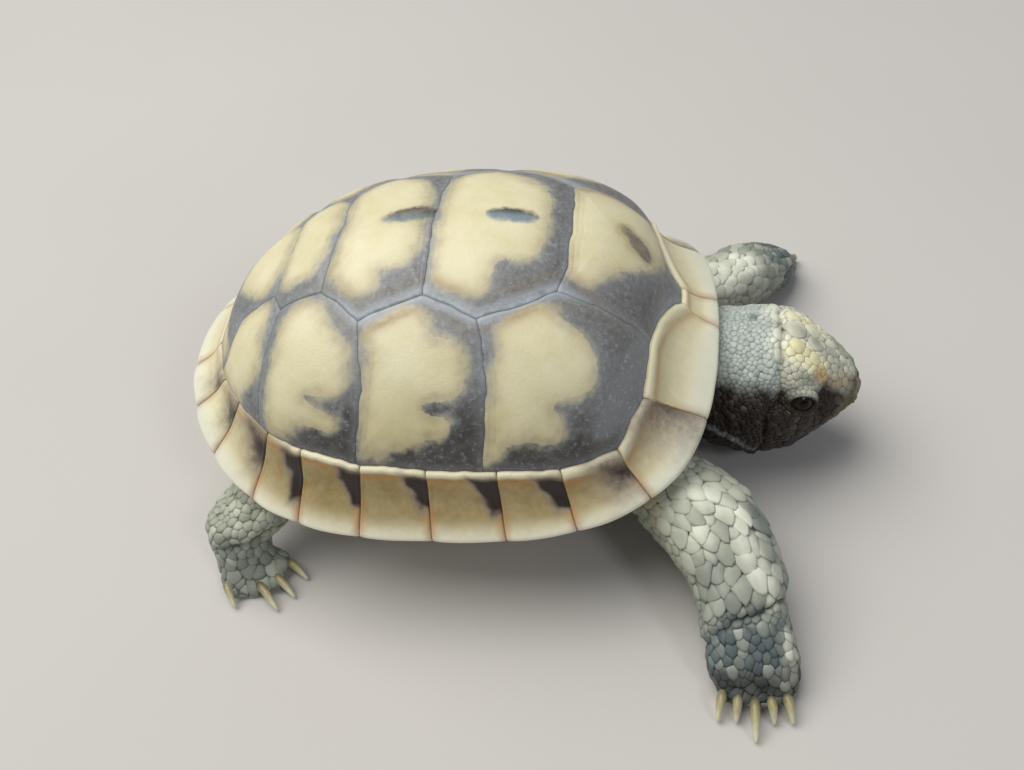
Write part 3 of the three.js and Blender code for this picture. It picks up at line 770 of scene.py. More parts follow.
@dataclass(frozen=True)
class Seams:
    """Where the scutes meet on the chart, on the right side."""

    v1c1: Point = (0.651, -0.315)
    v1v2: Point = (0.322, -0.246)
    v2c1c2: Point = (0.151, -0.346)
    v2v3: Point = (0.02, -0.297)
    v3c2c3: Point = (-0.135, -0.349)
    v3v4: Point = (-0.237, -0.243)
    v4c3c4: Point = (-0.374, -0.266)
    v4v5: Point = (-0.423, -0.208)
    v5side: Point = (-0.594, -0.229)
    v5c4: Point = (-0.757, -0.345)
    c1c2mid: Point = (0.193, -0.532)
    c2c3mid: Point = (-0.125, -0.545)
    c1c2low: Point = (0.2, -0.771)
    c2c3low: Point = (-0.181, -0.757)
    c3c4low: Point = (-0.51, -0.588)
    v2front: Point = (0.392, 0.0)
    v2front_side: Point = (0.372, -0.125)
    v3front: Point = (0.006, 0.0)
    v4front: Point = (-0.247, 0.0)
    v5front: Point = (-0.42, 0.0)
    tail_top: Point = (-0.845, 0.0)
    rim_tops: tuple[Point, ...] = (
        (0.878, -0.045),
        (0.632, -0.478),
        (0.567, -0.633),
        (0.416, -0.72),
        (0.238, -0.764),
        (0.03, -0.788),
        (-0.172, -0.76),
        (-0.353, -0.689),
        (-0.476, -0.617),
        (-0.614, -0.497),
        (-0.728, -0.387),
        (-0.828, -0.191),
    )
    rim_angles: tuple[float, ...] = (
        4.9, 28.2, 47.2, 61.2, 74.0, 88.3, 103.0, 116.0, 127.5, 142.0, 156.0, 169.0,
    )

    def vertebrals(self) -> list[list[Point]]:
        """Return the outlines of the five scutes along the back."""
        tops = self.rim_tops
        halves = [
            (None, [tops[0], self.v1c1, self.v1v2, self.v2front_side], self.v2front),
            (self.v2front, [self.v2front_side, self.v1v2, self.v2c1c2, self.v2v3], self.v3front),
            (self.v3front, [self.v2v3, self.v3c2c3, self.v3v4], self.v4front),
            (self.v4front, [self.v3v4, self.v4c3c4, self.v4v5], self.v5front),
            (self.v5front, [self.v4v5, self.v5side, self.v5c4, tops[-1]], self.tail_top),
        ]
        return [
            ([front] if front else []) + right + ([rear] if rear else []) + mirrored(right)
            for front, right, rear in halves
        ]

    def costals(self) -> list[list[Point]]:
        """Return the outlines of the four scutes down the right side."""
        tops = self.rim_tops
        return [
            [self.v1c1, self.v1v2, self.v2c1c2, self.c1c2mid, self.c1c2low, tops[4], tops[3], tops[2],
             tops[1]],
            [self.v2c1c2, self.v2v3, self.v3c2c3, self.c2c3mid, self.c2c3low, tops[6], tops[5],
             self.c1c2low, self.c1c2mid],
            [self.v3c2c3, self.v3v4, self.v4c3c4, self.c3c4low, tops[8], tops[7], self.c2c3low,
             self.c2c3mid],
            [self.v4c3c4, self.v4v5, self.v5side, self.v5c4, tops[10], tops[9], self.c3c4low],
        ]

    def zigzag(self) -> list[Point]:
        """Return the long seam between the back's scutes and the right side's, from rear to front."""
        return [self.v5side, self.v4v5, self.v4c3c4, self.v3v4, self.v3c2c3, self.v2v3, self.v2c1c2,
                self.v1v2, self.v1c1]

    def rim_top(self, index: int) -> list[Point]:
        """Return the top line of rim scute index, from its front to its rear."""
        between = {0: [self.v1c1], 4: [self.c1c2low], 6: [self.c2c3low], 8: [self.c3c4low],
                   10: [self.v5c4]}
        return [self.rim_tops[index], *between.get(index, []), self.rim_tops[index + 1]]


SEAMS = Seams()


# ---------------------------------------------------------------- flat-lying scutes


@dataclass(frozen=True)
class Scute:
    """A horny plate over an outline, crowned in its middle and rounded down at its seams."""

    name: str
    corners: tuple[Point, ...]
    thickness: float = 1.0
    crown: float = 0.34
    step: float = 0.34
    rows: int = 30
    gap: float = 0.015
    groove: float = 0.05
    shoulder: float = 0.8
    dip: float = 0.05
    ring_width: float = 0.07
    ring_depths: tuple[float, ...] = (0.018, 0.015, 0.012)
    ring_places: tuple[float, ...] = (0.42, 0.86, 1.3)
    near_rows: tuple[float, ...] = (
        0.1, 0.18, 0.26, 0.34, 0.42, 0.5, 0.62, 0.78, 0.86, 0.94, 1.1, 1.3, 1.5,
    )

    def border(self, surface: Callable[[Array], Array]) -> Array:
        """Walk round the outline in short steps.

        Args:
            surface: Puts chart places in space.

        Returns:
            Chart places in order round the outline.
        """
        places = []
        corners = np.array(self.corners)
        for here, there in zip(corners, np.roll(corners, -1, axis=0)):
            length = np.linalg.norm(surface(here) - surface(there))
            count = max(2, round(float(length) / self.step))
            shares = np.arange(count)[:, None] / count
            places.append(mix(here, there, shares))
        return np.vstack(places)

    def relief(self, edge: Array, share: Array) -> Array:
        """Return the height over the plain surface at a distance from the seam."""
        height = self.crown * (1 - share**3) * (1 - np.exp(-edge / self.shoulder))
        height -= self.dip * bump_at(edge, 0.16)
        for place, depth in zip(self.ring_places, self.ring_depths):
            height -= depth * bump_at(edge - place, self.ring_width)
        return height

    def build(
        self,
        surface: Callable[[Array], Array],
        normal: Callable[[Array], Array],
        marks: Marks,
        flip: bool = False,
        drift: Callable[[Array], Array] = wander,
    ) -> bpy.types.Object:
        """Build the scute as one closed solid.

        Args:
            surface: Puts chart places in space.
            normal: Gives the way out at chart places.
            marks: Gives named values for chart places and their points.
            flip: Whether the scute is the left side's.
            drift: Moves chart places a little before they are used.

        Returns:
            The finished piece.
        """
        border = self.border(surface)
        centre = border.mean(0)
        reach = np.linalg.norm(surface(border) - surface(centre), axis=1).min()
        close_in = 1 - np.array(self.near_rows) / reach
        far = close_in.min() * (1 - (np.arange(self.rows) / self.rows)) ** 0.9
        shares = np.concatenate([close_in, far[1:], [0]])[::-1][:, None, None]
        places = drift(mix(centre, border[None], shares))
        edge_line = surface(drift(border))
        points = surface(places)
        ups = normal(places)
        edge = line_distance(points, edge_line)
        eased = sum(np.roll(edge, turn, axis=1) for turn in range(-4, 5)) / 9
        tops = points + ups * self.relief(eased, np.broadcast_to(shares[..., 0], edge.shape))[..., None]
        up = normal(drift(border))
        along = np.roll(edge_line, -1, axis=0) - np.roll(edge_line, 1, axis=0)
        inward = unit(np.cross(up, along))
        if ((surface(centre) - edge_line) * inward).sum() < 0:
            inward = -inward
        rim = [
            edge_line + inward * self.gap * 1.1 - up * (self.groove * 0.8),
            edge_line + inward * self.gap * 0.3 - up * (self.groove * 1.3),
            edge_line - inward * 0.03 - up * (self.groove * 2.4),
            edge_line + inward * 0.12 - up * self.thickness,
            np.broadcast_to(surface(drift(centre)) - normal(drift(centre)) * self.thickness, up.shape),
        ]
        whole = np.concatenate([tops, np.array(rim)])
        chart = np.concatenate([places, np.repeat(drift(border)[None], len(rim), axis=0)])
        values = marks(chart.reshape(-1, 2), whole.reshape(-1, 3))
        values["edge"] = np.concatenate([edge, np.zeros((len(rim), edge.shape[1]))]).ravel()
        values = {name: value.reshape(whole.shape[:2]) for name, value in values.items()}
        return Workshop.ringed(self.name, whole, values, flip)


class Carapace:
    """The scutes of the back and sides, with the pale fields and dark bands of a young shell.

    Attributes:
        vertebral_seed: Picks the first vertebral's outline; the others count on from it.
        costal_seeds: The same for the first costal of each side.
        rear_fade: Millimetres by which the painted sheen keeps nearer to the long seam at the rear.
        front_fade: The same at the front.
        vertebral_marks: The markings of the vertebrals, front to rear.
        costal_marks: The markings of the costals, front to rear.
    """

    vertebral_seed: int = 20
    costal_seeds: dict[Side, int] = {Side.RIGHT: 40, Side.LEFT: 50}
    rear_fade: float = 2.4
    front_fade: float = 0.7
    vertebral_marks: tuple[Marking, ...] = (
        Marking(
            rear=(0.36, -0.3),
            pale=((0.36, 0.0), (0.351, -0.165), (0.372, -0.206), (0.416, -0.22), (0.471, -0.189),
                  (0.503, -0.153), (0.629, -0.096), (0.715, 0.0), (0.785, 0.106), (0.75, 0.22),
                  (0.63, 0.29), (0.54, 0.285), (0.44, 0.265), (0.37, 0.24), (0.35, 0.17)),
            spots=(Spot((0.68, -0.02), (0.56, 0.07), 1.2), Spot((0.6, 0.03), (0.53, 0.09), 0.8)),
            frost=(Spot((0.69, -0.29), (0.87, 0.0), 1.5), Spot((0.69, 0.29), (0.87, 0.0), 1.5)),
        ),
        Marking(
            rear=(0.03, -0.29),
            pale=((0.02, 0.0), (0.034, -0.24), (0.056, -0.262), (0.081, -0.277), (0.115, -0.277),
                  (0.154, -0.253), (0.164, -0.215), (0.167, -0.185), (0.188, -0.168),
                  (0.237, -0.171), (0.279, -0.146), (0.302, -0.092), (0.322, -0.01), (0.314, 0.08),
                  (0.27, 0.15), (0.2, 0.19), (0.165, 0.215), (0.115, 0.27), (0.034, 0.235)),
            spots=(Spot((0.142, -0.02), (0.295, -0.013), 1.05),),
            cool=1.0,
        ),
        Marking(
            rear=(-0.22, -0.24),
            pale=((-0.016, 0.046), (-0.011, -0.048), (-0.008, -0.11), (-0.015, -0.165),
                  (-0.042, -0.196), (-0.081, -0.2), (-0.099, -0.219), (-0.104, -0.265),
                  (-0.132, -0.278), (-0.171, -0.259), (-0.2, -0.229), (-0.224, -0.19),
                  (-0.234, 0.0), (-0.224, 0.19), (-0.171, 0.262), (-0.115, 0.26), (-0.045, 0.2),
                  (-0.02, 0.16)),
            spots=(Spot((-0.13, -0.024), (0.022, 0.002), 1.1),),
            cool=0.6,
        ),
        Marking(
            rear=(-0.4, -0.24),
            pale=((-0.262, 0.05), (-0.264, -0.046), (-0.274, -0.14), (-0.298, -0.2),
                  (-0.362, -0.198), (-0.402, -0.172), (-0.425, -0.06), (-0.43, 0.0),
                  (-0.425, 0.06), (-0.4, 0.17), (-0.35, 0.2), (-0.29, 0.205), (-0.262, 0.15)),
        ),
        Marking(
            rear=(-0.75, -0.34),
            pale=((-0.42, 0.05), (-0.424, -0.06), (-0.438, -0.15), (-0.47, -0.188),
                  (-0.53, -0.17), (-0.6, -0.115), (-0.67, -0.04), (-0.67, 0.06), (-0.6, 0.14),
                  (-0.5, 0.185), (-0.44, 0.16)),
            island=((-0.705, -0.29), (-0.765, -0.29), (-0.81, -0.17), (-0.82, 0.0), (-0.81, 0.17),
                    (-0.765, 0.29), (-0.705, 0.29), (-0.755, 0.12), (-0.765, 0.0), (-0.755, -0.12)),
            frost=(Spot((-0.58, -0.2), (-0.8, -0.3), 1.6), Spot((-0.58, 0.2), (-0.8, 0.3), 1.6)),
        ),
    )
    costal_marks: tuple[Marking, ...] = (
        Marking(
            rear=(0.16, -0.34),
            aside=0.3,
            pale=((0.199, -0.345), (0.237, -0.308), (0.292, -0.284), (0.347, -0.322),
                  (0.387, -0.347), (0.425, -0.383), (0.448, -0.431), (0.444, -0.479),
                  (0.404, -0.51), (0.36, -0.526), (0.35, -0.55), (0.371, -0.563), (0.389, -0.591),
                  (0.396, -0.622), (0.391, -0.644), (0.358, -0.656), (0.316, -0.652),
                  (0.279, -0.666), (0.255, -0.689), (0.24, -0.72), (0.21, -0.755), (0.199, -0.74),
                  (0.2, -0.614), (0.2, -0.477)),
            frost=(Spot((0.62, -0.32), (0.49, -0.62), 1.9),),
        ),
        Marking(
            rear=(-0.14, -0.34),
            aside=0.3,
            pale=((-0.107, -0.371), (-0.067, -0.349), (-0.032, -0.33), (0.01, -0.32),
                  (0.028, -0.351), (0.035, -0.387), (0.052, -0.41), (0.09, -0.414),
                  (0.124, -0.423), (0.138, -0.475), (0.137, -0.529), (0.124, -0.566),
                  (0.079, -0.583), (0.04, -0.586), (0.03, -0.603), (0.048, -0.618),
                  (0.093, -0.622), (0.112, -0.64), (0.099, -0.676), (0.052, -0.689),
                  (-0.006, -0.706), (-0.063, -0.735), (-0.11, -0.753), (-0.168, -0.742),
                  (-0.125, -0.572), (-0.108, -0.437)),
        ),
        Marking(
            rear=(-0.4, -0.28),
            aside=0.3,
            pale=((-0.351, -0.3), (-0.304, -0.265), (-0.254, -0.267), (-0.231, -0.307),
                  (-0.212, -0.357), (-0.177, -0.381), (-0.154, -0.416), (-0.158, -0.471),
                  (-0.177, -0.543), (-0.206, -0.552), (-0.249, -0.542), (-0.29, -0.528),
                  (-0.282, -0.551), (-0.245, -0.583), (-0.212, -0.605), (-0.208, -0.629),
                  (-0.236, -0.652), (-0.269, -0.632), (-0.316, -0.613), (-0.359, -0.619),
                  (-0.396, -0.646), (-0.466, -0.61), (-0.43, -0.522), (-0.373, -0.385)),
        ),
        Marking(
            rear=(-0.74, -0.34),
            aside=0.3,
            pale=((-0.568, -0.214), (-0.475, -0.22), (-0.43, -0.245), (-0.423, -0.32),
                  (-0.452, -0.41), (-0.49, -0.468), (-0.545, -0.478), (-0.605, -0.483),
                  (-0.662, -0.454), (-0.735, -0.385), (-0.75, -0.345), (-0.66, -0.285)),
        ),
    )

    def marks(self, marking: Marking, seed: int) -> Marks:
        """Return what writes one scute's markings.

        Args:
            marking: The pale fields, spots and patches of painted sheen.
            seed: Varies their outline.

        Returns:
            A function of chart places and points that gives the named values.
        """
        right = np.array(SEAMS.zigzag())
        zigzags = [DOME.point(wander(right * np.array([1, turn]))) for turn in (1, -1)]

        def write(places: Array, points: Array) -> dict[str, Array]:
            """Return the ways into the dark, the spots and the painted sheen patches, and where each tint
            shows.
            """
            middle = np.array(marking.pale).mean(0)
            towards = np.array(marking.rear) - middle
            share = ((places - middle) @ towards) / (towards @ towards)
            seam = np.minimum(*[line_distance(points, line, closed=False) for line in zigzags])
            seam += self.rear_fade * (1 - smooth(places[:, 0], -0.42, -0.1))
            seam += self.front_fade * smooth(places[:, 0], 0.3, 0.5)
            return {
                "dark": marking.field(places, points, seed),
                "spot": marking.deepest(marking.spots, points),
                "frost": marking.deepest(marking.frost, points),
                "tinted": np.full(len(points), marking.cool),
                "cool": marking.cool * smooth(-places[:, 1], -0.012, 0.03),
                "warm": smooth(share, 0.35, 1.0),
                "low": smooth(np.abs(places[:, 1]), 0.5, 0.68),
                "zigzag": seam + marking.aside,
            }

        return write

    def build(self, material: bpy.types.Material) -> list[bpy.types.Object]:
        """Build and dress every scute.

        Args:
            material: The carapace's horn.

        Returns:
            The pieces.
        """
        plans = []
        for i, (corners, marking) in enumerate(zip(SEAMS.vertebrals(), self.vertebral_marks)):
            plans.append((f"vertebral_{i + 1}", corners, marking, self.vertebral_seed + i, False))
        for i, (corners, marking) in enumerate(zip(SEAMS.costals(), self.costal_marks)):
            for side in Side:
                name, seed = f"costal_{side.value}_{i + 1}", self.costal_seeds[side] + i
                plans.append((name, corners, marking, seed, side is Side.LEFT))
        pieces = []
        for name, corners, marking, seed, flip in plans:
            scute = Scute(f"{name}.horn", tuple(corners))
            piece = scute.build(DOME.point, DOME.normal, self.marks(marking, seed), flip)
            pieces.append(hand_over(piece, material, [name]))
        return pieces


@dataclass(frozen=True)
class CarapaceHorn:
    """The horn of the back: straw fields in soft grey bands, with a painted bluish sheen by the long seam.
    """

    high: str = "E6DFBE"
    low: str = "CFC592"
    brown: str = "9C8154"
    haze: str = "9A8C76"
    slate: str = "7D7E7E"
    core: str = "47433F"
    straw: str = "B7A768"
    blot: str = "4C4743"
    pool: str = "7D8E99"
    painted_sheen: str = "B8C2CC"
    line: str = "38322D"

    def material(self) -> bpy.types.Material:
        """Build the material."""
        shader = Shader("carapace_horn", 0.46)
        broad = shader.noise(3.2, 3)
        patch = shader.noise(0.9, 4, 0.6)
        grain = shader.noise(0.22, 3, 0.6)
        dark, edge, warm = shader.mark("dark"), shader.mark("edge"), shader.mark("warm")
        low, zigzag, cool = shader.mark("low"), shader.mark("zigzag"), shader.mark("cool")
        ragged = dark + broad * 0.8 + patch * 0.5 + grain * 0.12
        darkness = ragged.step(-0.35, 0.8)
        spot = (shader.mark("spot") + patch * 0.8 + grain * 0.3).step(-0.3, 0.35)
        # Painted sheen: lighter bluish-grey patches over the dark bands near the rim seam stand for a
        # reflection.
        frost = (shader.mark("frost") + patch * 2.0 + grain * 0.6).step(-0.7, 1.0)
        # The dark bands deepen lower down the sides: partly their own colour, partly painted shade.
        deep = (ragged + patch * 2.2 + grain * 0.6 + low * 1.4).step(0.5, 2.4)
        fringe = (ragged + 0.25).bell(0.5) * (0.45 + patch * 0.6)
        by_seam = 1 - (zigzag + patch * 0.9).step(0.3, 1.35)
        speckle = shader.noise(0.42, 4, 0.75)
        mottle = (speckle - 0.02).step(-0.05, 0.25)
        # Painted sheen, mottled, within those patches.
        sheen_mottle = frost * darkness * (0.1 + mottle * 0.4) * (ragged + patch * 2).step(0.6, 2.2)
        # Painted highlight: a bluish sheen laid into the colour along the long seam.
        painted_sheen = (by_seam * (0.5 + patch * 1.6 + mottle * 0.4)).clamped()
        strip = (zigzag - 1.4 + patch * 0.8).bell(0.4) * (1 - darkness * 0.8) * (0.6 + broad * 1.6)
        growth = (1 - edge.step(0.2, 1.0)) * (1 - darkness) * (0.15 + warm * 0.5 + patch * 0.5)
        sheen = (1 - (edge + patch * 0.6).step(0.2, 1.0)) * darkness * (0.2 + patch * 1.2)
        rings = ((edge - 0.42).bell(0.05) + (edge - 0.86).bell(0.06) * 0.8) * (0.07 + patch * 0.15)
        seam = 1 - (edge + grain * 0.05).step(0.0, 0.08)
        halo = 1 - shader.mark("tinted")
        base = shader.layers(
            shader.blend(self.low, self.high, (broad * 1.3 + 0.62 + grain * 0.6 + patch * 0.3).clamped()),
            # Lower down the sides the pale fields turn olive: partly the horn's own colour, partly painted
            # shade.
            (self.straw, low * (0.35 + patch * 0.5)),
            (self.brown, (growth + (warm - 0.6) * 0.3 * (1 - darkness)).clamped() * 0.7),
            (self.haze, fringe.clamped()),
            (self.slate, darkness),
            (self.core, (deep * darkness * (0.3 + low * 0.62 + patch * 1.2) * (1 - frost * 0.6)).clamped()),
            (self.core, speckle.step(0.0, 0.15) * darkness * (0.3 + frost * 0.2)),
            (self.brown, strip.clamped()),
            # Painted sheen: bluish highlight along the dark bands' edges, in their frosted patches and pale
            # speckles, and by the long seam.
            (self.painted_sheen, (sheen * 0.6).clamped()),
            (self.painted_sheen, sheen_mottle),
            (self.painted_sheen, (-speckle).step(0.03, 0.18) * darkness * (0.3 + frost * 0.2)),
            (self.painted_sheen, painted_sheen * (0.3 + darkness * 0.5)),
            (self.brown, ((shader.mark("spot") + patch * 1.4 + 0.35).bell(0.35) * 0.4).clamped() * halo),
            # The spots are dark pigment; the bluish tint on their right halves is painted sheen.
            (shader.blend(self.blot, self.pool, cool), spot * (1 - halo * 0.25 + patch * 0.6).clamped()),
            (self.core, rings.clamped()),
            (self.line, seam * (0.18 + frost * 0.35)),
        )
        relief = grain * 0.5 + patch * 0.35 + shader.noise(0.09, 2) * 0.25 - rings
        rough = 0.44 + patch * 0.22 + grain * 0.15 - painted_sheen * 0.1
        return shader.finish(base, relief, 0.045, rough)


# ---------------------------------------------------------------- rim scutes


@dataclass(frozen=True)
class Wedge:
    """A dark mark behind a rim scute's front seam.

    Attributes:
        width: Its width in millimetres at the top.
        bottom: How far down it reaches, as a share of the way to the rim.
        top: Where it starts, in millimetres below the top seam.
        taper: How much of its width it loses on the way down.
        soft: How sharp it is; less makes it paler and softer.
    """

    width: float
    bottom: float
    top: float = 0.6
    taper: float = 0.75
    soft: float = 1.0

    def field(self, front: Array, down: Array, depth: Array, points: Array, seed: int) -> Array:
        """Measure the way into the mark, above zero inside it.

        Args:
            front: Millimetres behind the front seam.
            down: Share of the way down to the rim.
            depth: Millimetres below the top seam.
            points: The places in space.
            seed: Varies the outline.

        Returns:
            One value per place.
        """
        width = self.width * (1 - self.taper * np.clip((down - 0.12) / self.bottom, 0, 1))
        field = np.minimum(width - front, np.minimum(depth - self.top, (self.bottom - down) * 6))
        return (field + 0.16 * waves(points, 1.5, seed)) * self.soft


@dataclass(frozen=True)
class RimScute:
    """A plate of the rim, lofted along it: a rounded ledge, a hollow wall and a flared lip."""

    name: str
    top: tuple[Point, ...]
    angles: tuple[float, float]
    wedge: Wedge | None = None
    ledge: float = 0.26
    ledge_width: float = 0.34
    hollow: float = 0.26
    flare: float = 0.24
    lip: float = 0.4
    scallop: float = 0.16
    under_width: float = 4.2
    side_drop: float = 2.3
    end_drop: float = 0.45
    thickness: float = 1.0
    stations: int = 34
    wall_rows: int = 30
    near_stations: tuple[float, ...] = (
        0.06, 0.14, 0.22, 0.3, 0.38, 0.45, 0.52, 0.62, 0.77, 0.85, 0.93, 1.1,
    )
    first_rows: tuple[float, ...] = (0.0, 0.012, 0.03)
    lip_turns: tuple[float, ...] = (22, 45, 68, 90, 112, 135, 158)
    under_rows: int = 7
    groove: float = 0.1
    ring_width: float = 0.07
    ring_cuts: tuple[Point, ...] = ((0.45, 0.02), (0.85, 0.016), (1.3, 0.012))

    def lines(self, shares: Array) -> tuple[Array, Array]:
        """Return the chart places of the top line and of the rim at shares along the scute."""
        corners = np.array(self.top)
        lengths = np.linalg.norm(np.diff(corners, axis=0), axis=1)
        walked = np.concatenate([[0], np.cumsum(lengths)]) / lengths.sum()
        top = np.stack([np.interp(shares, walked, corners[:, i]) for i in range(2)], -1)
        angle = np.radians(mix(self.angles[0], self.angles[1], shares))
        return top, np.stack([np.cos(angle), -np.sin(angle)], -1)

    def under(self, rim: Array) -> Array:
        """Return the inward end of the rim's underside for rim places on the chart."""
        edge = DOME.point(rim)
        inward = unit(np.stack([-edge[..., 0], -edge[..., 1] * 1.4, 0 * edge[..., 0]], -1))
        sideways = 1 - smooth(np.abs(rim[..., 0]), 0.45, 0.85)
        point = edge + inward * self.under_width
        point[..., 2] -= mix(self.end_drop, self.side_drop, sideways)
        return point

    def relief(self, down: Array, depth: Array, edge: Array, sideways: Array, proud: Array) -> Array:
        """Return the height over the plain dome.

        Args:
            down: Share of the way from the top seam to the rim.
            depth: Millimetres below the top seam.
            edge: Millimetres from the nearer side seam.
            sideways: 1 along the flanks, 0 at the head and tail.
            proud: How much of the ledge there is.

        Returns:
            Heights in millimetres.
        """
        height = self.ledge * proud * bump_at(depth - self.ledge_width - 0.02, self.ledge_width)
        height = height - self.hollow * bump_at(down - 0.46, 0.2) * sideways
        height += self.flare * smooth(down, 0.6, 0.9)
        height *= 1 - 0.45 * bump_at(edge, 0.25)
        height -= self.groove * bump_at(edge, 0.1) + self.groove * bump_at(depth, 0.12)
        for place, cut in self.ring_cuts:
            height -= cut * bump_at(edge - place, self.ring_width)
        return height

    def build(self, seed: int, flip: bool = False) -> bpy.types.Object:
        """Build the scute as one closed solid.

        Args:
            seed: Varies its dark wedge.
            flip: Whether it is the left side's.

        Returns:
            The finished piece.
        """
        length = np.linalg.norm(np.diff(DOME.point(self.lines(np.array([0.0, 1.0]))[1]), axis=0))
        near = np.array(self.near_stations) / length
        middle = np.linspace(near[-1], 1 - near[-1], self.stations)[1:-1]
        shares = np.concatenate([near, middle, 1 - near[::-1]])
        top, rim = self.lines(shares)
        run = np.concatenate([self.first_rows, np.linspace(0.05, 0.93, self.wall_rows)])
        places = wander(mix(top[:, None], rim[:, None], run[None, :, None]))
        points, ups = DOME.point(places), DOME.normal(places)
        plan = unit(points * np.array([1, 1, 0]))
        degrees = mix(self.angles[0], self.angles[1], shares)
        ends = np.maximum(1 - smooth(degrees, 50, 75) + smooth(degrees, 105, 125), 0.7)
        bulge = self.scallop * ends * np.sin(np.pi * np.clip(shares, 0, 1) ** 1.5)
        points = points + plan * (bulge[:, None] * run[None] ** 3)[..., None]
        down_seam = np.linspace(0, 1, 14)[:, None]
        sides = [DOME.point(wander(mix(*self.lines(np.array([end])), down_seam))) for end in (0.0, 1.0)]
        edge = np.minimum(*[line_distance(points, side, closed=False) for side in sides])
        seam_top = DOME.point(wander(self.lines(np.linspace(0, 1, 25))[0]))
        depth = line_distance(points, seam_top, closed=False)
        sideways = (1 - smooth(np.abs(places[..., 0]), 0.72, 0.95)) * 0.7 + 0.3
        proud = 1 - 0.9 * smooth(-top[:, :1], 0.3, 0.52)
        height = self.relief(run[None], depth, edge, sideways, proud)
        outer = points + ups * height[..., None]
        down_way = unit(points[:, -1] - points[:, -2])
        up = unit(ups[:, -1] - down_way * (ups[:, -1] * down_way).sum(-1, keepdims=True))
        centre = outer[:, -1] - up * self.lip
        turns = np.radians(self.lip_turns)
        lip = centre[:, None] + self.lip * (
            np.cos(turns)[None, :, None] * up[:, None] + np.sin(turns)[None, :, None] * down_way[:, None]
        )
        foot = self.under(rim)
        under = mix(lip[:, -1:], foot[:, None], np.linspace(0.12, 1, self.under_rows)[None, :, None])
        seam, out = DOME.point(wander(top)), DOME.normal(wander(top))
        head = seam - out * self.thickness
        back = mix(foot[:, None], head[:, None], np.array([0.5, 1.0])[None, :, None])
        start = seam - out * 0.3
        section = np.concatenate([start[:, None], outer, lip, under, back], axis=1)
        lip_down, under_down = np.linspace(0.95, 1.1, lip.shape[1]), np.linspace(1.2, 2, self.under_rows)
        down = np.concatenate([[0.0], run, lip_down, under_down, [2.5, 3]])
        down = np.repeat(down[None], len(shares), axis=0)
        rest = section.shape[1] - 1 - len(run)
        depths = np.concatenate([depth[:, :1], depth, np.full((len(shares), rest), 9.0)], axis=1)
        wedge = np.full(down.shape, OUTSIDE)
        if self.wedge:
            front = line_distance(section, sides[0], closed=False)
            wedge = self.wedge.field(front, down, depths, section, seed)
            wedge = np.where(down > 1.15, OUTSIDE, wedge)
        values = {
            "down": down,
            "edge": self.carried(edge, rest),
            "depth": depths * (RimScute.ledge_width / self.ledge_width),
            "wedge": wedge,
            "flank": 1 - smooth(np.abs(self.carried(places[..., 0], rest)), 0.42, 0.85),
            "ledge": np.broadcast_to(proud, down.shape),
        }
        return Workshop.ringed(self.name, *self.with_ends(section, values), flip)

    @staticmethod
    def carried(values: Array, count: int) -> Array:
        """Carry the outside's values one row over the top seam and count rows past the rim."""
        return np.concatenate([values[:, :1], values, np.repeat(values[:, -1:], count, axis=1)], axis=1)

    @staticmethod
    def with_ends(section: Array, values: dict[str, Array]) -> tuple[Array, dict[str, Array]]:
        """Close both ends of the loft, each with a sunken edge and a pole.

        Args:
            section: Stations of the loft, each a closed ring of points.
            values: Named values for the same points.

        Returns:
            The whole grid and its values.
        """
        middle = section.mean(1, keepdims=True)
        inward = unit(middle - section)
        low = section + inward * 0.14
        lower = section + inward * 0.34
        first_way = section[:1] - section[1:2]
        last_way = section[-1:] - section[-2:-1]
        front = [middle[:1] + 0 * section[:1], lower[:1] + first_way * 1.1, low[:1] + first_way * 0.55]
        rear = [low[-1:] + last_way * 0.55, lower[-1:] + last_way * 1.1, middle[-1:] + 0 * section[-1:]]
        grown = {}
        for name, value in values.items():
            first, last = (np.repeat(end, 3, axis=0) for end in (value[:1], value[-1:]))
            if name == "edge":
                first, last = first * 0, last * 0
            grown[name] = np.concatenate([first, value, last])
        return np.concatenate([*front, section, *rear]), grown


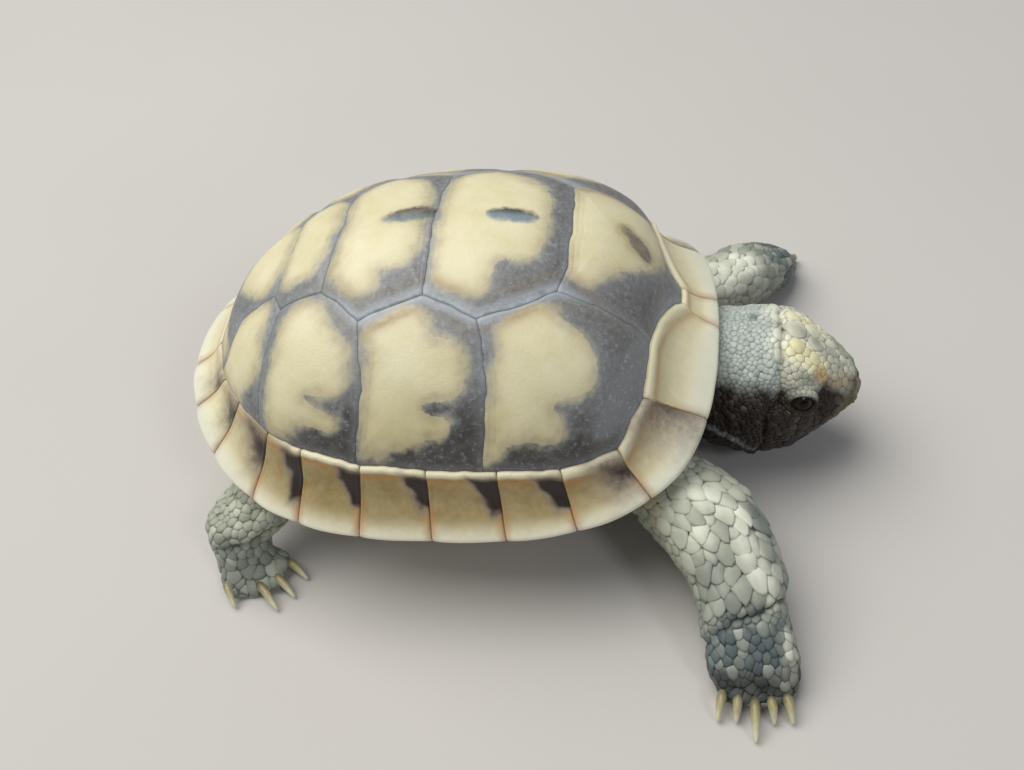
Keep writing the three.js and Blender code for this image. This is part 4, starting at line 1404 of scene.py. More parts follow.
class Rim:
    """The ring of rim scutes round the carapace.

    Attributes:
        nuchal_stations: How many stations the nuchal's middle has.
        supracaudal_stations: How many the supracaudal's has.
        front_ledge: The width of the ledge on the first marginals, in millimetres.
        front_count: How many marginals a side have that wider ledge.
        end_seed: Varies the nuchal and the supracaudal.
        seeds: Varies the first marginal of each side; the others count on from it.
        wedges: The dark marks by the marginal's number, front to rear.
    """

    nuchal_stations: int = 16
    supracaudal_stations: int = 40
    front_ledge: float = 0.5
    front_count: int = 3
    end_seed: int = 90
    seeds: dict[Side, int] = {Side.RIGHT: 60, Side.LEFT: 80}
    wedges: dict[int, Wedge] = {
        2: Wedge(2.4, 0.9, 0.1, 0.35, 0.12),
        3: Wedge(2.6, 0.7, 0.4, 0.25, 0.24),
        4: Wedge(2.5, 0.68, 0.5, 0.6),
        5: Wedge(2.4, 0.64, 0.5),
        6: Wedge(2.2, 0.6, 0.55),
        7: Wedge(2.2, 0.62, 0.55),
        8: Wedge(2.2, 0.74, 0.5, 0.6, 0.8),
        9: Wedge(2.9, 0.62, 0.25, 0.6, 0.3),
        10: Wedge(2.2, 0.55, 0.2, 0.5, 0.26),
        11: Wedge(1.8, 0.5, 0.2, 0.5, 0.22),
    }

    def build(self, material: bpy.types.Material) -> list[bpy.types.Object]:
        """Build and dress every rim scute.

        Args:
            material: The rim's horn.

        Returns:
            The pieces.
        """
        first, last = SEAMS.rim_tops[0], SEAMS.rim_tops[-1]
        front, rear = SEAMS.rim_angles[0], SEAMS.rim_angles[-1]
        ends = (
            ("nuchal", (*mirrored([first]), first), (-front, front), self.nuchal_stations),
            ("supracaudal", (last, SEAMS.tail_top, *mirrored([last])), (rear, 360 - rear),
             self.supracaudal_stations),
        )
        plans = []
        for name, top, angles, stations in ends:
            scute = RimScute(f"{name}.horn", top, angles, stations=stations, scallop=0.0)
            plans.append((name, scute, self.end_seed, False))
        for i, angles in enumerate(zip(SEAMS.rim_angles, SEAMS.rim_angles[1:])):
            top, wedge = tuple(SEAMS.rim_top(i)), self.wedges.get(i + 1)
            width = self.front_ledge if i < self.front_count else RimScute.ledge_width
            for side in Side:
                name = f"marginal_{side.value}_{i + 1}"
                scute = RimScute(f"{name}.horn", top, angles, wedge, ledge_width=width)
                plans.append((name, scute, self.seeds[side] + i, side is Side.LEFT))
        pieces = []
        for name, scute, seed, flip in plans:
            pieces.append(hand_over(scute.build(seed, flip), material, [name]))
        return pieces


@dataclass(frozen=True)
class RimHorn:
    """The horn of the rim: cream ledge and lip, an ochre wall along the flanks and dark wedges."""

    cream: str = "F0E9C8"
    field: str = "D8D0A4"
    ochre: str = "97804A"
    orange: str = "BC8442"
    wedge: str = "2C201B"
    cool: str = "C9D2CB"
    glint: str = "F6F6EA"
    haze: str = "8C8074"
    line: str = "5A4228"

    def material(self) -> bpy.types.Material:
        """Build the material."""
        shader = Shader("rim_horn", 0.44)
        broad = shader.noise(2.2, 3)
        patch = shader.noise(0.7, 4, 0.6)
        grain = shader.noise(0.18, 3, 0.6)
        down, edge, flank = shader.mark("down"), shader.mark("edge"), shader.mark("flank")
        depth, wedge = shader.mark("depth"), shader.mark("wedge")
        ledge = (1 - (depth + grain * 0.1).step(0.45, 0.9)) * shader.mark("ledge")
        lip = (down + patch * 0.12 - flank * 0.1).step(0.55, 0.86)
        # The ochre wall is the horn's own colour, made darker partly as painted shade on the hollow wall.
        wall = (1 - ledge) * (1 - lip) * (0.08 + flank * 0.82 + broad * 0.5 + patch * 0.4)
        under = down.step(1.15, 1.6)
        warm = (depth - 0.95 + patch * 0.5).bell(0.22) * (0.42 + flank * 0.2)
        corner = (1 - (edge + patch * 0.5).step(0.1, 0.9)) * down.step(0.25, 0.95) * (1 - under) * 0.75
        soft = wedge + patch * 0.4 + grain * 0.15
        haze = soft.step(-0.55, 0.25) * 0.75
        dark = soft.step(-0.08, 0.5)
        seam = 1 - (edge.least(depth) + grain * 0.05).step(0.02, 0.1)
        # The ledge and lip are paler: partly the horn's own cream, partly painted highlight; the glint
        # along the lip's edge is a painted highlight.
        light = broad * 0.8 + 0.52 + lip * 0.35 + ledge * 0.25
        base = shader.layers(
            shader.blend(self.field, self.cream, light.clamped()),
            (self.ochre, wall.clamped()),
            (self.ochre, under * 0.35),
            (self.orange, (warm + corner).clamped()),
            # Painted sheen: a bluish tint on the lip at the head and tail.
            (self.cool, lip * (1 - flank) * 0.4),
            (self.glint, (down - 1.0).bell(0.1) * (0.35 + flank * 0.15)),
            (self.haze, haze),
            (self.wedge, dark),
            (self.line, seam * 0.35),
        )
        relief = grain * 0.5 + patch * 0.35 + shader.noise(0.09, 2) * 0.25
        rough = 0.42 + patch * 0.2 + grain * 0.12
        return shader.finish(base, relief, 0.045, rough)


# ---------------------------------------------------------------- the plastron


@dataclass(frozen=True)
class Plastron:
    """The belly's twelve plates, with their bridges up to the rim."""

    height: float = -0.8
    thickness: float = 1.2
    bridge_start: float = 10.8
    bridge_width: float = 5.4
    bridge_rise: float = 3.3
    bridge_front: float = 11.5
    bridge_rear: float = -9.5
    bridge_fade: float = 2.5
    gular_rise: float = 0.9
    gular_start: float = 15.0
    midline: tuple[float, ...] = (18.9, 15.2, 9.6, 6.2, -7.4, -13.2, -18.2)
    crown: float = 0.06
    step: float = 0.45
    rows: int = 16
    slope_step: float = 0.05
    seam_sway: float = 0.09
    right_seed: int = 70
    left_seed: int = 80

    def surface(self, places: Array) -> Array:
        """Put level places on the belly."""
        x, y = places[..., 0], places[..., 1]
        bridge = smooth(x, self.bridge_rear - self.bridge_fade, self.bridge_rear)
        bridge = bridge * (1 - smooth(x, self.bridge_front, self.bridge_front + self.bridge_fade))
        out = np.clip((np.abs(y) - self.bridge_start) / self.bridge_width, 0, 1)
        rise = self.bridge_rise * out**1.4 * mix(0.35, 1, bridge)
        level = self.height + rise + self.gular_rise * smooth(x, self.gular_start, 21)
        return np.stack([x, y, level], -1)

    def normal(self, places: Array) -> Array:
        """Return the way out of the belly."""
        steps = np.array([[self.slope_step, 0], [0, self.slope_step]])
        first, second = (self.surface(places + step) - self.surface(places - step) for step in steps)
        return -unit(np.cross(first, second))

    def outlines(self) -> dict[str, list[Point]]:
        """Return the right side's plates, front to rear."""
        tip, gular, humeral = (19.3, -3.5), (17.3, -7.2), (12.2, -12.6)
        axilla, pectoral, inguinal = (11.2, -15.2), (4.5, -15.9), (-9.2, -15.0)
        abdominal, femoral, anal = (-10.2, -12.4), (-16.4, -8.9), (-20.0, -4.0)
        m = [(x, 0.0) for x in self.midline]
        return {
            "gular": [m[0], tip, gular, m[1]],
            "humeral": [m[1], gular, humeral, m[2]],
            "pectoral": [m[2], humeral, axilla, pectoral, m[3]],
            "abdominal": [m[3], pectoral, inguinal, abdominal, m[4]],
            "femoral": [m[4], abdominal, femoral, m[5]],
            "anal": [m[5], femoral, anal, m[6]],
        }

    def marks(self, seed: int) -> Marks:
        """Return what writes a plate's dark figure."""

        def write(places: Array, points: Array) -> dict[str, Array]:
            """Return the way into the dark figure for these places."""
            x, y = places[:, 0], np.abs(places[:, 1])
            blotch = 5.2 - np.hypot((x - 1.0) * 0.36, y - 6.4) + 1.2 * waves(points, 9, seed)
            return {"dark": blotch}

        return write

    def sway(self, places: Array) -> Array:
        """Let the seams wander a little."""
        return places + self.seam_sway * np.stack([waves(places, 5.0, 31), waves(places, 5.0, 32)], -1)

    def build(self, material: bpy.types.Material) -> list[bpy.types.Object]:
        """Build and dress every plate.

        Args:
            material: The belly's horn.

        Returns:
            The pieces.
        """
        pieces = []
        for i, (plate, corners) in enumerate(self.outlines().items()):
            for side in Side:
                name = f"{plate}_{side.value}"
                scute = Scute(
                    f"{name}.horn", tuple(corners), self.thickness, self.crown, self.step, self.rows
                )
                flip = side is Side.LEFT
                marks = self.marks((self.left_seed if flip else self.right_seed) + i)
                piece = scute.build(self.surface, self.normal, marks, flip, self.sway)
                pieces.append(hand_over(piece, material, [name]))
        return pieces


@dataclass(frozen=True)
class BellyHorn:
    """The belly's horn: pale yellow with a broad dark figure on each side of the midline."""

    pale: str = "DDD0A0"
    stain: str = "B79A63"
    dark: str = "4A423A"
    seam: str = "3A2F26"

    def material(self) -> bpy.types.Material:
        """Build the material."""
        shader = Shader("plastron_horn", 0.45)
        broad = shader.noise(4.0, 3)
        patch = shader.noise(1.0, 4, 0.6)
        grain = shader.noise(0.2, 3)
        dark, edge = shader.mark("dark"), shader.mark("edge")
        figure = (dark + broad * 3.0 + patch * 1.2).step(-0.4, 0.9) * 0.85
        seam = 1 - (edge + grain * 0.05).step(0.03, 0.16)
        rings = (edge - 0.42).bell(0.07) * 0.6 + (edge - 0.86).bell(0.08) * 0.5
        rings = rings + (edge - 1.3).bell(0.08) * 0.4
        base = shader.layers(
            self.pale,
            (self.stain, (0.25 + broad + patch * 0.6).clamped() * 0.7),
            (self.dark, figure),
            (self.stain, rings * 0.5),
            (self.seam, seam * 0.8),
        )
        relief = grain * 0.5 + patch * 0.4 - rings * 0.5
        return shader.finish(base, relief, 0.05, 0.42 + patch * 0.2)


# ---------------------------------------------------------------- the flesh


class Region(Enum):
    """The parts of the body that wear different scales."""

    FORE_RIGHT = "foreleg_right"
    FORE_LEFT = "foreleg_left"
    HIND_RIGHT = "hindleg_right"
    HIND_LEFT = "hindleg_left"
    HEAD = "head"
    TAIL = "tail"
    TRUNK = "trunk"


@dataclass(frozen=True)
class Limb:
    """The middle line of a limb, the head or the tail, as (x, y, z, radius) stations."""

    stations: tuple[tuple[float, float, float, float], ...]

    def locate(self, points: Array) -> tuple[Array, Array, Array, Array]:
        """Find where points lie along the limb.

        Args:
            points: Places in the shell's frame.

        Returns:
            The share along the limb, the way along it, the distance from its line less its radius,
            and the way out from its line.
        """
        line = np.array(self.stations)
        lengths = np.linalg.norm(np.diff(line[:, :3], axis=0), axis=1)
        starts = np.concatenate([[0], np.cumsum(lengths)])
        best = np.full(len(points), 1e9)
        share, gap = np.zeros(len(points)), np.full(len(points), 1e9)
        way, out = np.zeros_like(points), np.zeros_like(points)
        for i, length in enumerate(lengths):
            here, there = line[i], line[i + 1]
            along = (there - here)[:3] / length
            t = np.clip((points - here[:3]) @ along / length, 0, 1)
            away = points - here[:3] - t[:, None] * along * length
            distance = np.linalg.norm(away, axis=1)
            nearer = distance < best
            best = np.where(nearer, distance, best)
            share = np.where(nearer, (starts[i] + t * length) / starts[-1], share)
            gap = np.where(nearer, distance - mix(here[3], there[3], t), gap)
            way = np.where(nearer[:, None], along, way)
            out = np.where(nearer[:, None], unit(away), out)
        return share, way, gap, out


@dataclass(frozen=True)
class Foot:
    """A foot's claws.

    Attributes:
        toes: The level place of the toes' middle.
        heading: The way the foot points, in degrees.
        sweep: How far the claws turn from the heading, in degrees.
        fan: How far the outer claws spread, in degrees.
        spread: How wide the foot is.
        bow: How far the middle toes stand before the outer ones.
        length: How long a claw is.
        claws: Each claw's share across the foot.
        trim: How far before the toes the flesh is cut.
        lengths: Each claw's own share of the length.
    """

    toes: Point
    heading: float
    sweep: float
    fan: float
    spread: float
    bow: float
    length: float
    claws: tuple[float, ...]
    trim: float
    lengths: tuple[float, ...] = (1, 1, 1, 1, 1)

    def ways(self) -> tuple[Array, Array]:
        """Return the level ways ahead of the foot and to its left."""
        return level_ways(math.radians(self.heading))

    def root(self, share: float) -> tuple[Point, float, float]:
        """Return a claw's root, its heading and its length for its share across the foot."""
        aside, ahead = math.radians(self.heading + 90), math.radians(self.heading)
        across, forward = share * self.spread / 2, self.bow * (1 - share * share)
        x = self.toes[0] + math.cos(aside) * across + math.cos(ahead) * forward
        y = self.toes[1] + math.sin(aside) * across + math.sin(ahead) * forward
        way = math.radians(self.heading + self.sweep + share * self.fan)
        return (x, y), way, self.length * (1 - 0.16 * share * share)


LIMBS: dict[Region, Limb] = {
    Region.FORE_RIGHT: Limb(((15, -8.5, 4.2, 2.9), (19.5, -12.6, 3, 3.5), (23.4, -16.2, 1.9, 3.8),
                             (25.4, -19.6, 0.7, 3.6), (26.1, -22.9, -0.6, 3.2), (26.6, -25.2, -1.8, 3.2),
                             (27, -27.6, -3, 3.2), (27, -30, -3.6, 2.6))),
    Region.FORE_LEFT: Limb(((15, 9, 4.2, 2.9), (20, 12.4, 2.6, 3.1), (24.2, 14.9, 1.2, 3.3),
                            (27.3, 17.6, 0.1, 3.3), (29.6, 20.7, -1, 3.2), (31, 22.9, -2, 3.2),
                            (31.8, 25, -3, 3), (32.3, 26.8, -3.6, 2.4))),
    Region.HIND_RIGHT: Limb(((-11, -7, 3.4, 2.9), (-14.8, -10.6, 2.4, 3.4), (-18, -13.9, 1.8, 3.3),
                             (-20, -16.3, 0.2, 2.9), (-19.6, -17.4, -2.4, 2.8), (-19.1, -18, -4.6, 2.9))),
    Region.HIND_LEFT: Limb(((-11, 7, 3.4, 2.9), (-15.2, 10.2, 2.4, 3.4), (-18.8, 13, 1.8, 3.3),
                            (-21.4, 15.2, 0.2, 2.9), (-21, 16.3, -2.4, 2.8), (-20.5, 16.9, -4.6, 2.9))),
    Region.HEAD: Limb(((14, 0, 5.6, 4.5), (21, -0.1, 5, 5.6), (25, -0.5, 3.9, 6.4), (29, -0.7, 3.4, 6.6),
                       (31.5, -0.7, 3.4, 6.2), (34, -0.7, 3.4, 4.8), (37, -0.7, 3, 2.6))),
    Region.TAIL: Limb(((-14, 0, 3.2, 2.5), (-18.3, 0.1, 2.2, 2.3), (-21.3, 0.3, 0.7, 1.8),
                       (-23.3, 0.5, -1, 1.1), (-24.2, 0.7, -2.2, 0.5))),
}
FEET: dict[Region, Foot] = {
    Region.FORE_RIGHT: Foot((26.9, -29.1), -91, 0, 13, 4.9, 0.5, 3, (-1, -0.52, 0, 0.52, 1), -0.1,
                            (0.85, 0.6, 1.06, 0.6, 0.8)),
    Region.FORE_LEFT: Foot((32.1, 26.2), 73, 0, 14, 4.7, 0.5, 2.6, (-1, -0.52, 0, 0.52, 1), -0.1,
                           (0.85, 0.95, 1.0, 0.9, 0.8)),
    Region.HIND_RIGHT: Foot((-18.8, -18.9), -74, 26, 12, 5.4, 1.2, 3.1, (-1, 0.2, 0.75, 1.25), 1.7),
    Region.HIND_LEFT: Foot((-20.2, 17.9), 76, -24, 12, 5.4, 1.2, 3.1, (-1.1, -0.4, 0.3, 1), 1.7),
}
TRUNK_GAP = 1.3
TRUNK_HALF = 13.5
FORELEGS = (Region.FORE_RIGHT, Region.FORE_LEFT)
HINDLEGS = (Region.HIND_RIGHT, Region.HIND_LEFT)


@dataclass(frozen=True)
class Whereabouts:
    """Where each of a set of points lies on the body."""

    points: Array
    region: Array
    share: Array
    way: Array
    out: Array

    @classmethod
    def of(cls, points: Array) -> "Whereabouts":
        """Find the region of each point and its place along that region's line."""
        names = list(Region)
        found = [LIMBS[name].locate(points) for name in names if name in LIMBS]
        shares, ways, gaps, outs = (np.stack(values) for values in zip(*found))
        nearest, rows = gaps.argmin(0), np.arange(len(points))
        share, way, out = shares[nearest, rows], ways[nearest, rows], outs[nearest, rows]
        trunk = (gaps.min(0) > TRUNK_GAP) | (np.abs(points[:, 0]) < TRUNK_HALF)
        region = np.where(trunk, names.index(Region.TRUNK), nearest)
        way = np.where(trunk[:, None], np.array([0.0, 0.0, -1.0]), way)
        return cls(points, region, share, way, out)

    def on(self, *regions: Region) -> Array:
        """Say which points lie in any of the named regions."""
        names = list(Region)
        return np.isin(self.region, [names.index(region) for region in regions])


@dataclass(frozen=True)
class EyeSocket:
    """The eyes and the lids round them; side is 1 on the left."""

    x: float = 31.7
    out: float = 4.5
    z: float = 5.5
    radius: float = 1.65
    half_length: float = 0.62
    half_height: float = 0.42
    lid: float = 0.26
    hidden: float = 1.2

    def centre(self, side: int) -> Array:
        """Return the eyeball's middle."""
        return np.array([self.x, Placing().head_y + side * self.out, self.z])

    def axes(self, side: int) -> tuple[Array, Array, Array]:
        """Return the eye's ways out, forwards and up."""
        out, ahead = unit(np.array([0.28, side * 0.9, 0.3])), np.array([1.0, 0, -0.25])
        ahead = unit(ahead - out * (ahead @ out))
        return out, ahead, np.cross(out, ahead) * side * -1

    def ring(self, points: Array, side: int) -> tuple[Array, Array, Array]:
        """Measure how far from the lids' opening points lie, as seen from the eyeball's middle.

        Args:
            points: Places in the shell's frame.
            side: 1 for the left eye and -1 for the right.

        Returns:
            The opening's own measure, which is 1 on its edge, the distance from the eyeball's
            middle, and how squarely the place faces out.
        """
        out, ahead, up = self.axes(side)
        away = points - self.centre(side)
        distance = np.maximum(np.linalg.norm(away, axis=1), 1e-9)
        a, b, o = away @ ahead / distance, away @ up / distance, away @ out / distance
        height = self.half_height * (1 - 0.12 * (b < 0))
        open_by = ((np.abs(a) / self.half_length) ** 2.2 + (np.abs(b) / height) ** 2) ** 0.5
        return np.where(o > 0, open_by, 9), distance, o

    def nearest(self, points: Array) -> tuple[Array, Array]:
        """Return the smaller of both eyes' opening measures and of both distances."""
        left, right = (self.ring(points, side) for side in (1, -1))
        return np.minimum(left[0], right[0]), np.minimum(left[1], right[1])


SOCKET = EyeSocket()


@dataclass(frozen=True)
class Face:
    """The mouth and nostrils."""

    mouth: tuple[Point, ...] = (
        (31.2, 2.2), (32.2, 1.6), (34, 1.55), (35.8, 2.0), (37, 2.45), (37.8, 2.3), (38.4, 2.1),
    )
    mouth_start: float = 31.3
    nostril: Place = (37.75, 0.52, 4.25)

    def mouth_gap(self, points: Array) -> Array:
        """Return the height of points over the mouth line."""
        line = np.array(self.mouth)
        return points[:, 2] - np.interp(points[:, 0], line[:, 0], line[:, 1])

    def nostril_distance(self, points: Array) -> Array:
        """Return the distance of points from the nearer nostril."""
        x, aside, z = self.nostril
        holes = [np.array([x, Placing().head_y + side * aside, z]) for side in (-1, 1)]
        return np.minimum(*[np.linalg.norm(points - hole, axis=1) for hole in holes])

    def beak(self, points: Array) -> Array:
        """Return 1 on the horny beak and 0 off it."""
        gap = self.mouth_gap(points)
        upper = smooth(points[:, 0], 33.6, 34.4) * (1 - smooth(gap - 0.55 * (points[:, 0] - 34), 0.35, 0.8))
        lower = smooth(points[:, 0], 33.2, 33.8) * (1 - smooth(-gap, 0.9, 1.5))
        return np.where(gap > 0, upper, lower) * (points[:, 0] > 33)


FACE = Face()


@dataclass(frozen=True)
class Streak:
    """A soft patch of colour along a line in space."""

    line: tuple[Place, ...]
    width: float
    strength: float = 1.0

    def at(self, points: Array) -> Array:
        """Return how strong the patch is at points."""
        away = line_distance(points, np.array(self.line, float), closed=len(self.line) == 1)
        return self.strength * (1 - smooth(away, self.width * 0.45, self.width * 1.35))


class Complexion:
    """The markings that skin and scales share, with painted shade and highlights among them."""

    yellow: tuple[Streak, ...] = (
        Streak(((31.9, 1.3, 9.6), (32.8, 1.15, 9.1), (33.6, 1.0, 8.5), (34.3, 0.8, 7.9)), 0.95, 0.7),
        Streak(((31.8, -3.1, 9.3), (32.7, -3.4, 8.6), (33.5, -3.8, 7.9)), 1.3, 0.9),
    )
    cream: tuple[Streak, ...] = (
        Streak(((34.6, 0.3, 7.6), (35.6, -0.6, 6.8), (36.6, -1.8, 5.6)), 1.2, 0.32),
        Streak(((33.9, -1.7, 8.2), (34.7, -3.2, 7.1), (36.2, -2.1, 6.0)), 1.1, 0.32),
        Streak(((30.6, 1.4, 9.9), (31.6, 1.25, 9.7), (33.0, 1.1, 9.0), (34.3, 0.8, 8.0)), 1.7),
        Streak(((30.5, -2.7, 9.7), (31.6, -3.1, 9.4), (32.6, -3.3, 8.7)), 1.6),
        # The forelegs' cream streaks below are partly painted highlight, where the light catches raised
        # scales and upper faces.
        Streak(((22.0, -16.2, 5.2), (25.8, -17.4, 4.4), (26.8, -20.6, 3.4), (28.5, -23.3, 1.6)), 1.1, 0.85),
        Streak(((21.8, -14.5, 5.6), (22.9, -19.7, 4.0)), 1.5, 0.6),
        Streak(((29.7, -25.8, -0.4), (30.1, -27.6, -1.6), (29.6, -29.4, -2.4)), 1.0, 0.75),
        Streak(((24.6, 13.2, 4.4), (28.5, 17.2, 3.1)), 2.2, 1.0),
    )
    orange: tuple[Streak, ...] = (
        Streak(((33.7, -4.2, 7.4), (34.3, -4.5, 6.7)), 0.8, 0.75),
        Streak(((33.9, 3.0, 7.5), (34.4, 3.2, 6.9)), 0.75, 0.75),
        Streak(((34.7, -4.2, 6.2), (36.2, -3.0, 5.4)), 0.9, 0.35),
        Streak(((34.7, 3.2, 6.2), (36.4, 2.0, 5.4)), 0.9, 0.35),
        Streak(((18.6, -15.2, 4.8), (19.8, -17.0, 3.4)), 1.0, 0.5),
    )
    slate: tuple[Streak, ...] = (
        Streak(((33.5, -1.45, 8.7),), 0.55, 0.6),
        Streak(((28.1, 0.5, 10.0),), 0.5, 0.6),
        Streak(((31.9, -4.7, 8.1), (33.0, -4.9, 7.4)), 0.6, 0.4),
        Streak(((24.8, -25.6, 1.0), (26.4, -25.2, 1.2), (28.0, -24.4, 1.2)), 0.7, 0.8),
        Streak(((24.7, -23.3, 2.2), (25.3, -21.2, 3.1)), 1.2, 0.4),
        # Partly painted shade: this streak and the left foreleg's two below darken the arms' sides turned
        # from the light.
        Streak(((27.2, -16.6, 3.6), (28.4, -18.8, 2.8)), 1.1, 0.6),
        Streak(((31.6, 19.7, 1.4), (32.3, 21.4, 0.8), (33.4, 24.0, -0.8)), 1.6, 0.72),
        Streak(((32.2, 19.3, 0.5), (33.2, 20.0, -0.5)), 0.9, 0.5),
    )
    lids: tuple[Streak, ...] = (
        Streak(((30.0, -6.6, 6.4), (30.2, -6.8, 5.9), (31.0, -7.0, 5.2), (31.9, -6.9, 4.9)), 0.34, 0.8),
        Streak(((30.0, 5.2, 6.4), (30.2, 5.4, 5.9), (31.0, 5.6, 5.2), (31.9, 5.5, 4.9)), 0.34, 0.8),
    )
    # Painted highlight: a pale line where the throat fold's edge catches the light.
    throat_highlight: Streak = Streak(
        ((23.9, -6.8, 3.2), (24.5, -6.9, 3.0), (26.3, -7.05, 1.8), (28.2, -6.5, -0.2)), 0.4, 0.5
    )
    dusk_at: tuple[float, ...] = (20.0, 28.4, 29.6, 32.0, 34.6, 36.0, 38.0)
    dusk_height: tuple[float, ...] = (7.9, 7.9, 7.0, 6.9, 5.6, 4.9, 4.1)

    def fields(self, spots: Whereabouts) -> dict[str, Array]:
        """Work out every marking at a set of places.

        Args:
            spots: The places.

        Returns:
            Values from 0 to 1, by the colour's name.
        """
        p = spots.points
        x, z, share = p[:, 0], p[:, 2], spots.share
        found = {
            name: np.clip(np.max([streak.at(p) for streak in getattr(self, name)], axis=0), 0, 1)
            for name in ("yellow", "cream", "orange", "slate", "lids")
        }
        head, fore, hind = spots.on(Region.HEAD), spots.on(*FORELEGS), spots.on(*HINDLEGS)
        drift = waves(p, 3.4, 5) + 0.5 * waves(p, 1.5, 6)
        rear = 1 - smooth(x + 0.35 * drift, 29.4, 31.0)
        low = 0.5 * (1 - smooth(z + drift, 7.4, 9.0)) * (1 - smooth(x, 32.5, 34.5))
        # Off the throat's painted highlight the neck takes its blue and its dark.
        plain = 1 - self.throat_highlight.at(p)
        found["blue"] = head * np.maximum(rear, low) * plain
        found["tan"] = head * (1 - rear) * smooth(z + 0.5 * drift, 6.4, 8.2)
        # Painted shade, partly the skin's own dark: the lower head and neck darken below a line that falls
        # towards the snout.
        middle = np.interp(x, self.dusk_at, self.dusk_height)
        half = mix(1.0, 0.7, smooth(x, 28.4, 30.0))
        dark_and_shade = (1 - smooth(z + 0.3 * drift, middle - half, middle + half)) * smooth(x, 20.0, 23.0)
        dark_and_shade = head * dark_and_shade * plain
        foot = fore * smooth(share + 0.012 * drift, 0.735, 0.79) * 0.9
        shin = fore * smooth(share + 0.02 * drift, 0.45, 0.64) * 0.4
        heel = hind * smooth(share, 0.62, 0.85) * 0.42
        # The dark lower face and neck and the forefeet's ends: partly dark skin, partly painted shade.
        found["umber"] = np.maximum(dark_and_shade, fore * smooth(share + 0.01 * drift, 0.86, 0.95) * 0.6)
        found["slate"] = np.max([found["slate"], foot, shin, heel], axis=0) * (1 - 0.9 * found["cream"])
        # Painted light: the legs' upward-facing sides are made creamier.
        upper = smooth(spots.out[:, 2], -0.2, 0.7) * (fore * 0.27 + hind * 0.12)
        found["cream"] = np.maximum(found["cream"], upper * (1 - found["slate"]))
        found["horn"] = head * FACE.beak(p)
        return found


